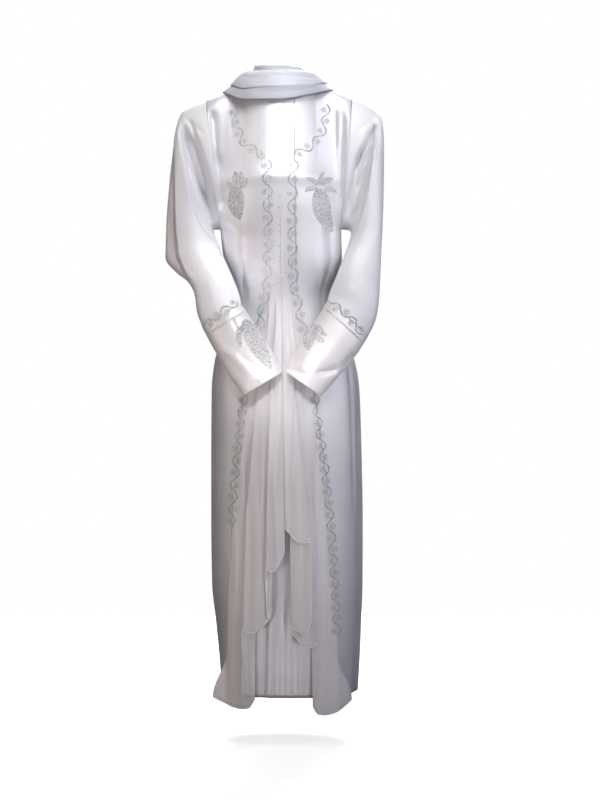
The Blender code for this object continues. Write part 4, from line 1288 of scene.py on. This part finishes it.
Lamp = namedtuple("Lamp", "name place aim size power spread colour")
LAMPS = [
    Lamp("key_above", (0.10, -0.95, 1.60), (-0.01, -0.03, -0.05), 0.7, 1.20, 32, (1.0, 0.99, 0.98)),
    Lamp("key_right", (1.30, -1.90, 0.80), (0.0, -0.05, -0.15), 0.8, 1.9, 60, (0.97, 0.98, 1.0)),
    Lamp("breast_pool", (-0.22, -1.55, 1.25), (0.0, -0.09, -0.135), 0.2, 0.08, 9, (1.0, 1.0, 1.0)),
    Lamp("cuff_glow", (-0.05, -2.15, 0.15), (0.01, -0.18, -0.64), 0.2, 0.08, 9, (1.0, 0.99, 0.99)),
    Lamp("waist_fill", (-0.05, -2.60, -0.35), (-0.110, -0.09, -0.41), 0.1, 0.035, 5, (0.98, 0.97, 1.0)),
    Lamp("low_front", (0.10, -3.00, -1.10), (0.0, 0.0, -0.50), 1.2, 0.75, 60, (1.0, 0.96, 0.97)),
    Lamp("low_left", (-1.50, -2.50, -1.40), (0.0, 0.0, -0.80), 1.0, 1.5, 60, (1.0, 0.88, 0.82)),
    Lamp("low_right", (1.50, -2.50, -1.40), (0.0, 0.0, -0.80), 1.0, 1.4, 60, (0.94, 0.91, 1.0)),
    Lamp("warm_left", (-2.30, -0.80, 0.10), (0.0, 0.0, -0.50), 1.2, 4.8, 120, (1.0, 0.88, 0.80)),
    Lamp("cool_right", (2.30, -0.80, 0.10), (0.0, 0.0, -0.50), 1.2, 5.6, 120, (0.84, 0.87, 1.0)),
    Lamp("back_light", (0.60, 2.40, 1.50), (0.0, 0.10, -0.50), 1.0, 8.0, 60, (0.98, 0.98, 1.0)),
    Lamp("floor_wash", (0.0, 2.60, 2.60), (0.0, 1.60, -1.47), 3.0, 60.0, 120, (1.0, 1.0, 1.0)),
]
for lamp in LAMPS:
    light = bpy.data.lights.new(lamp.name, "AREA")
    light.shape = "DISK"
    light.size = lamp.size
    light.spread = np.radians(lamp.spread)
    light.energy = lamp.power
    light.color = lamp.colour
    hung = bpy.data.objects.new(lamp.name, light)
    hung.location = lamp.place
    hung.rotation_euler = (Vector(lamp.aim) - Vector(lamp.place)).to_track_quat("-Z", "Y").to_euler()
    scene.collection.objects.link(hung)

world = bpy.data.worlds.new("studio")
world.use_nodes = True
scene.world = world
sky = world.node_tree
soft = sky.nodes["Background"]
soft.inputs["Color"].default_value = (0.93, 0.94, 1.0, 1)
soft.inputs["Strength"].default_value = 0.02
white = add_node(sky, "ShaderNodeBackground", Color=(1, 1, 1, 1), Strength=1.0)
rays = add_node(sky, "ShaderNodeLightPath")
seen = add_node(sky, "ShaderNodeMixShader")
wire(rays, "Is Camera Ray", seen, 0)
wire(soft, "Background", seen, 1)
wire(white, "Background", seen, 2)
wire(seen, "Shader", sky.nodes["World Output"], "Surface")
scene.view_settings.view_transform = "Standard"
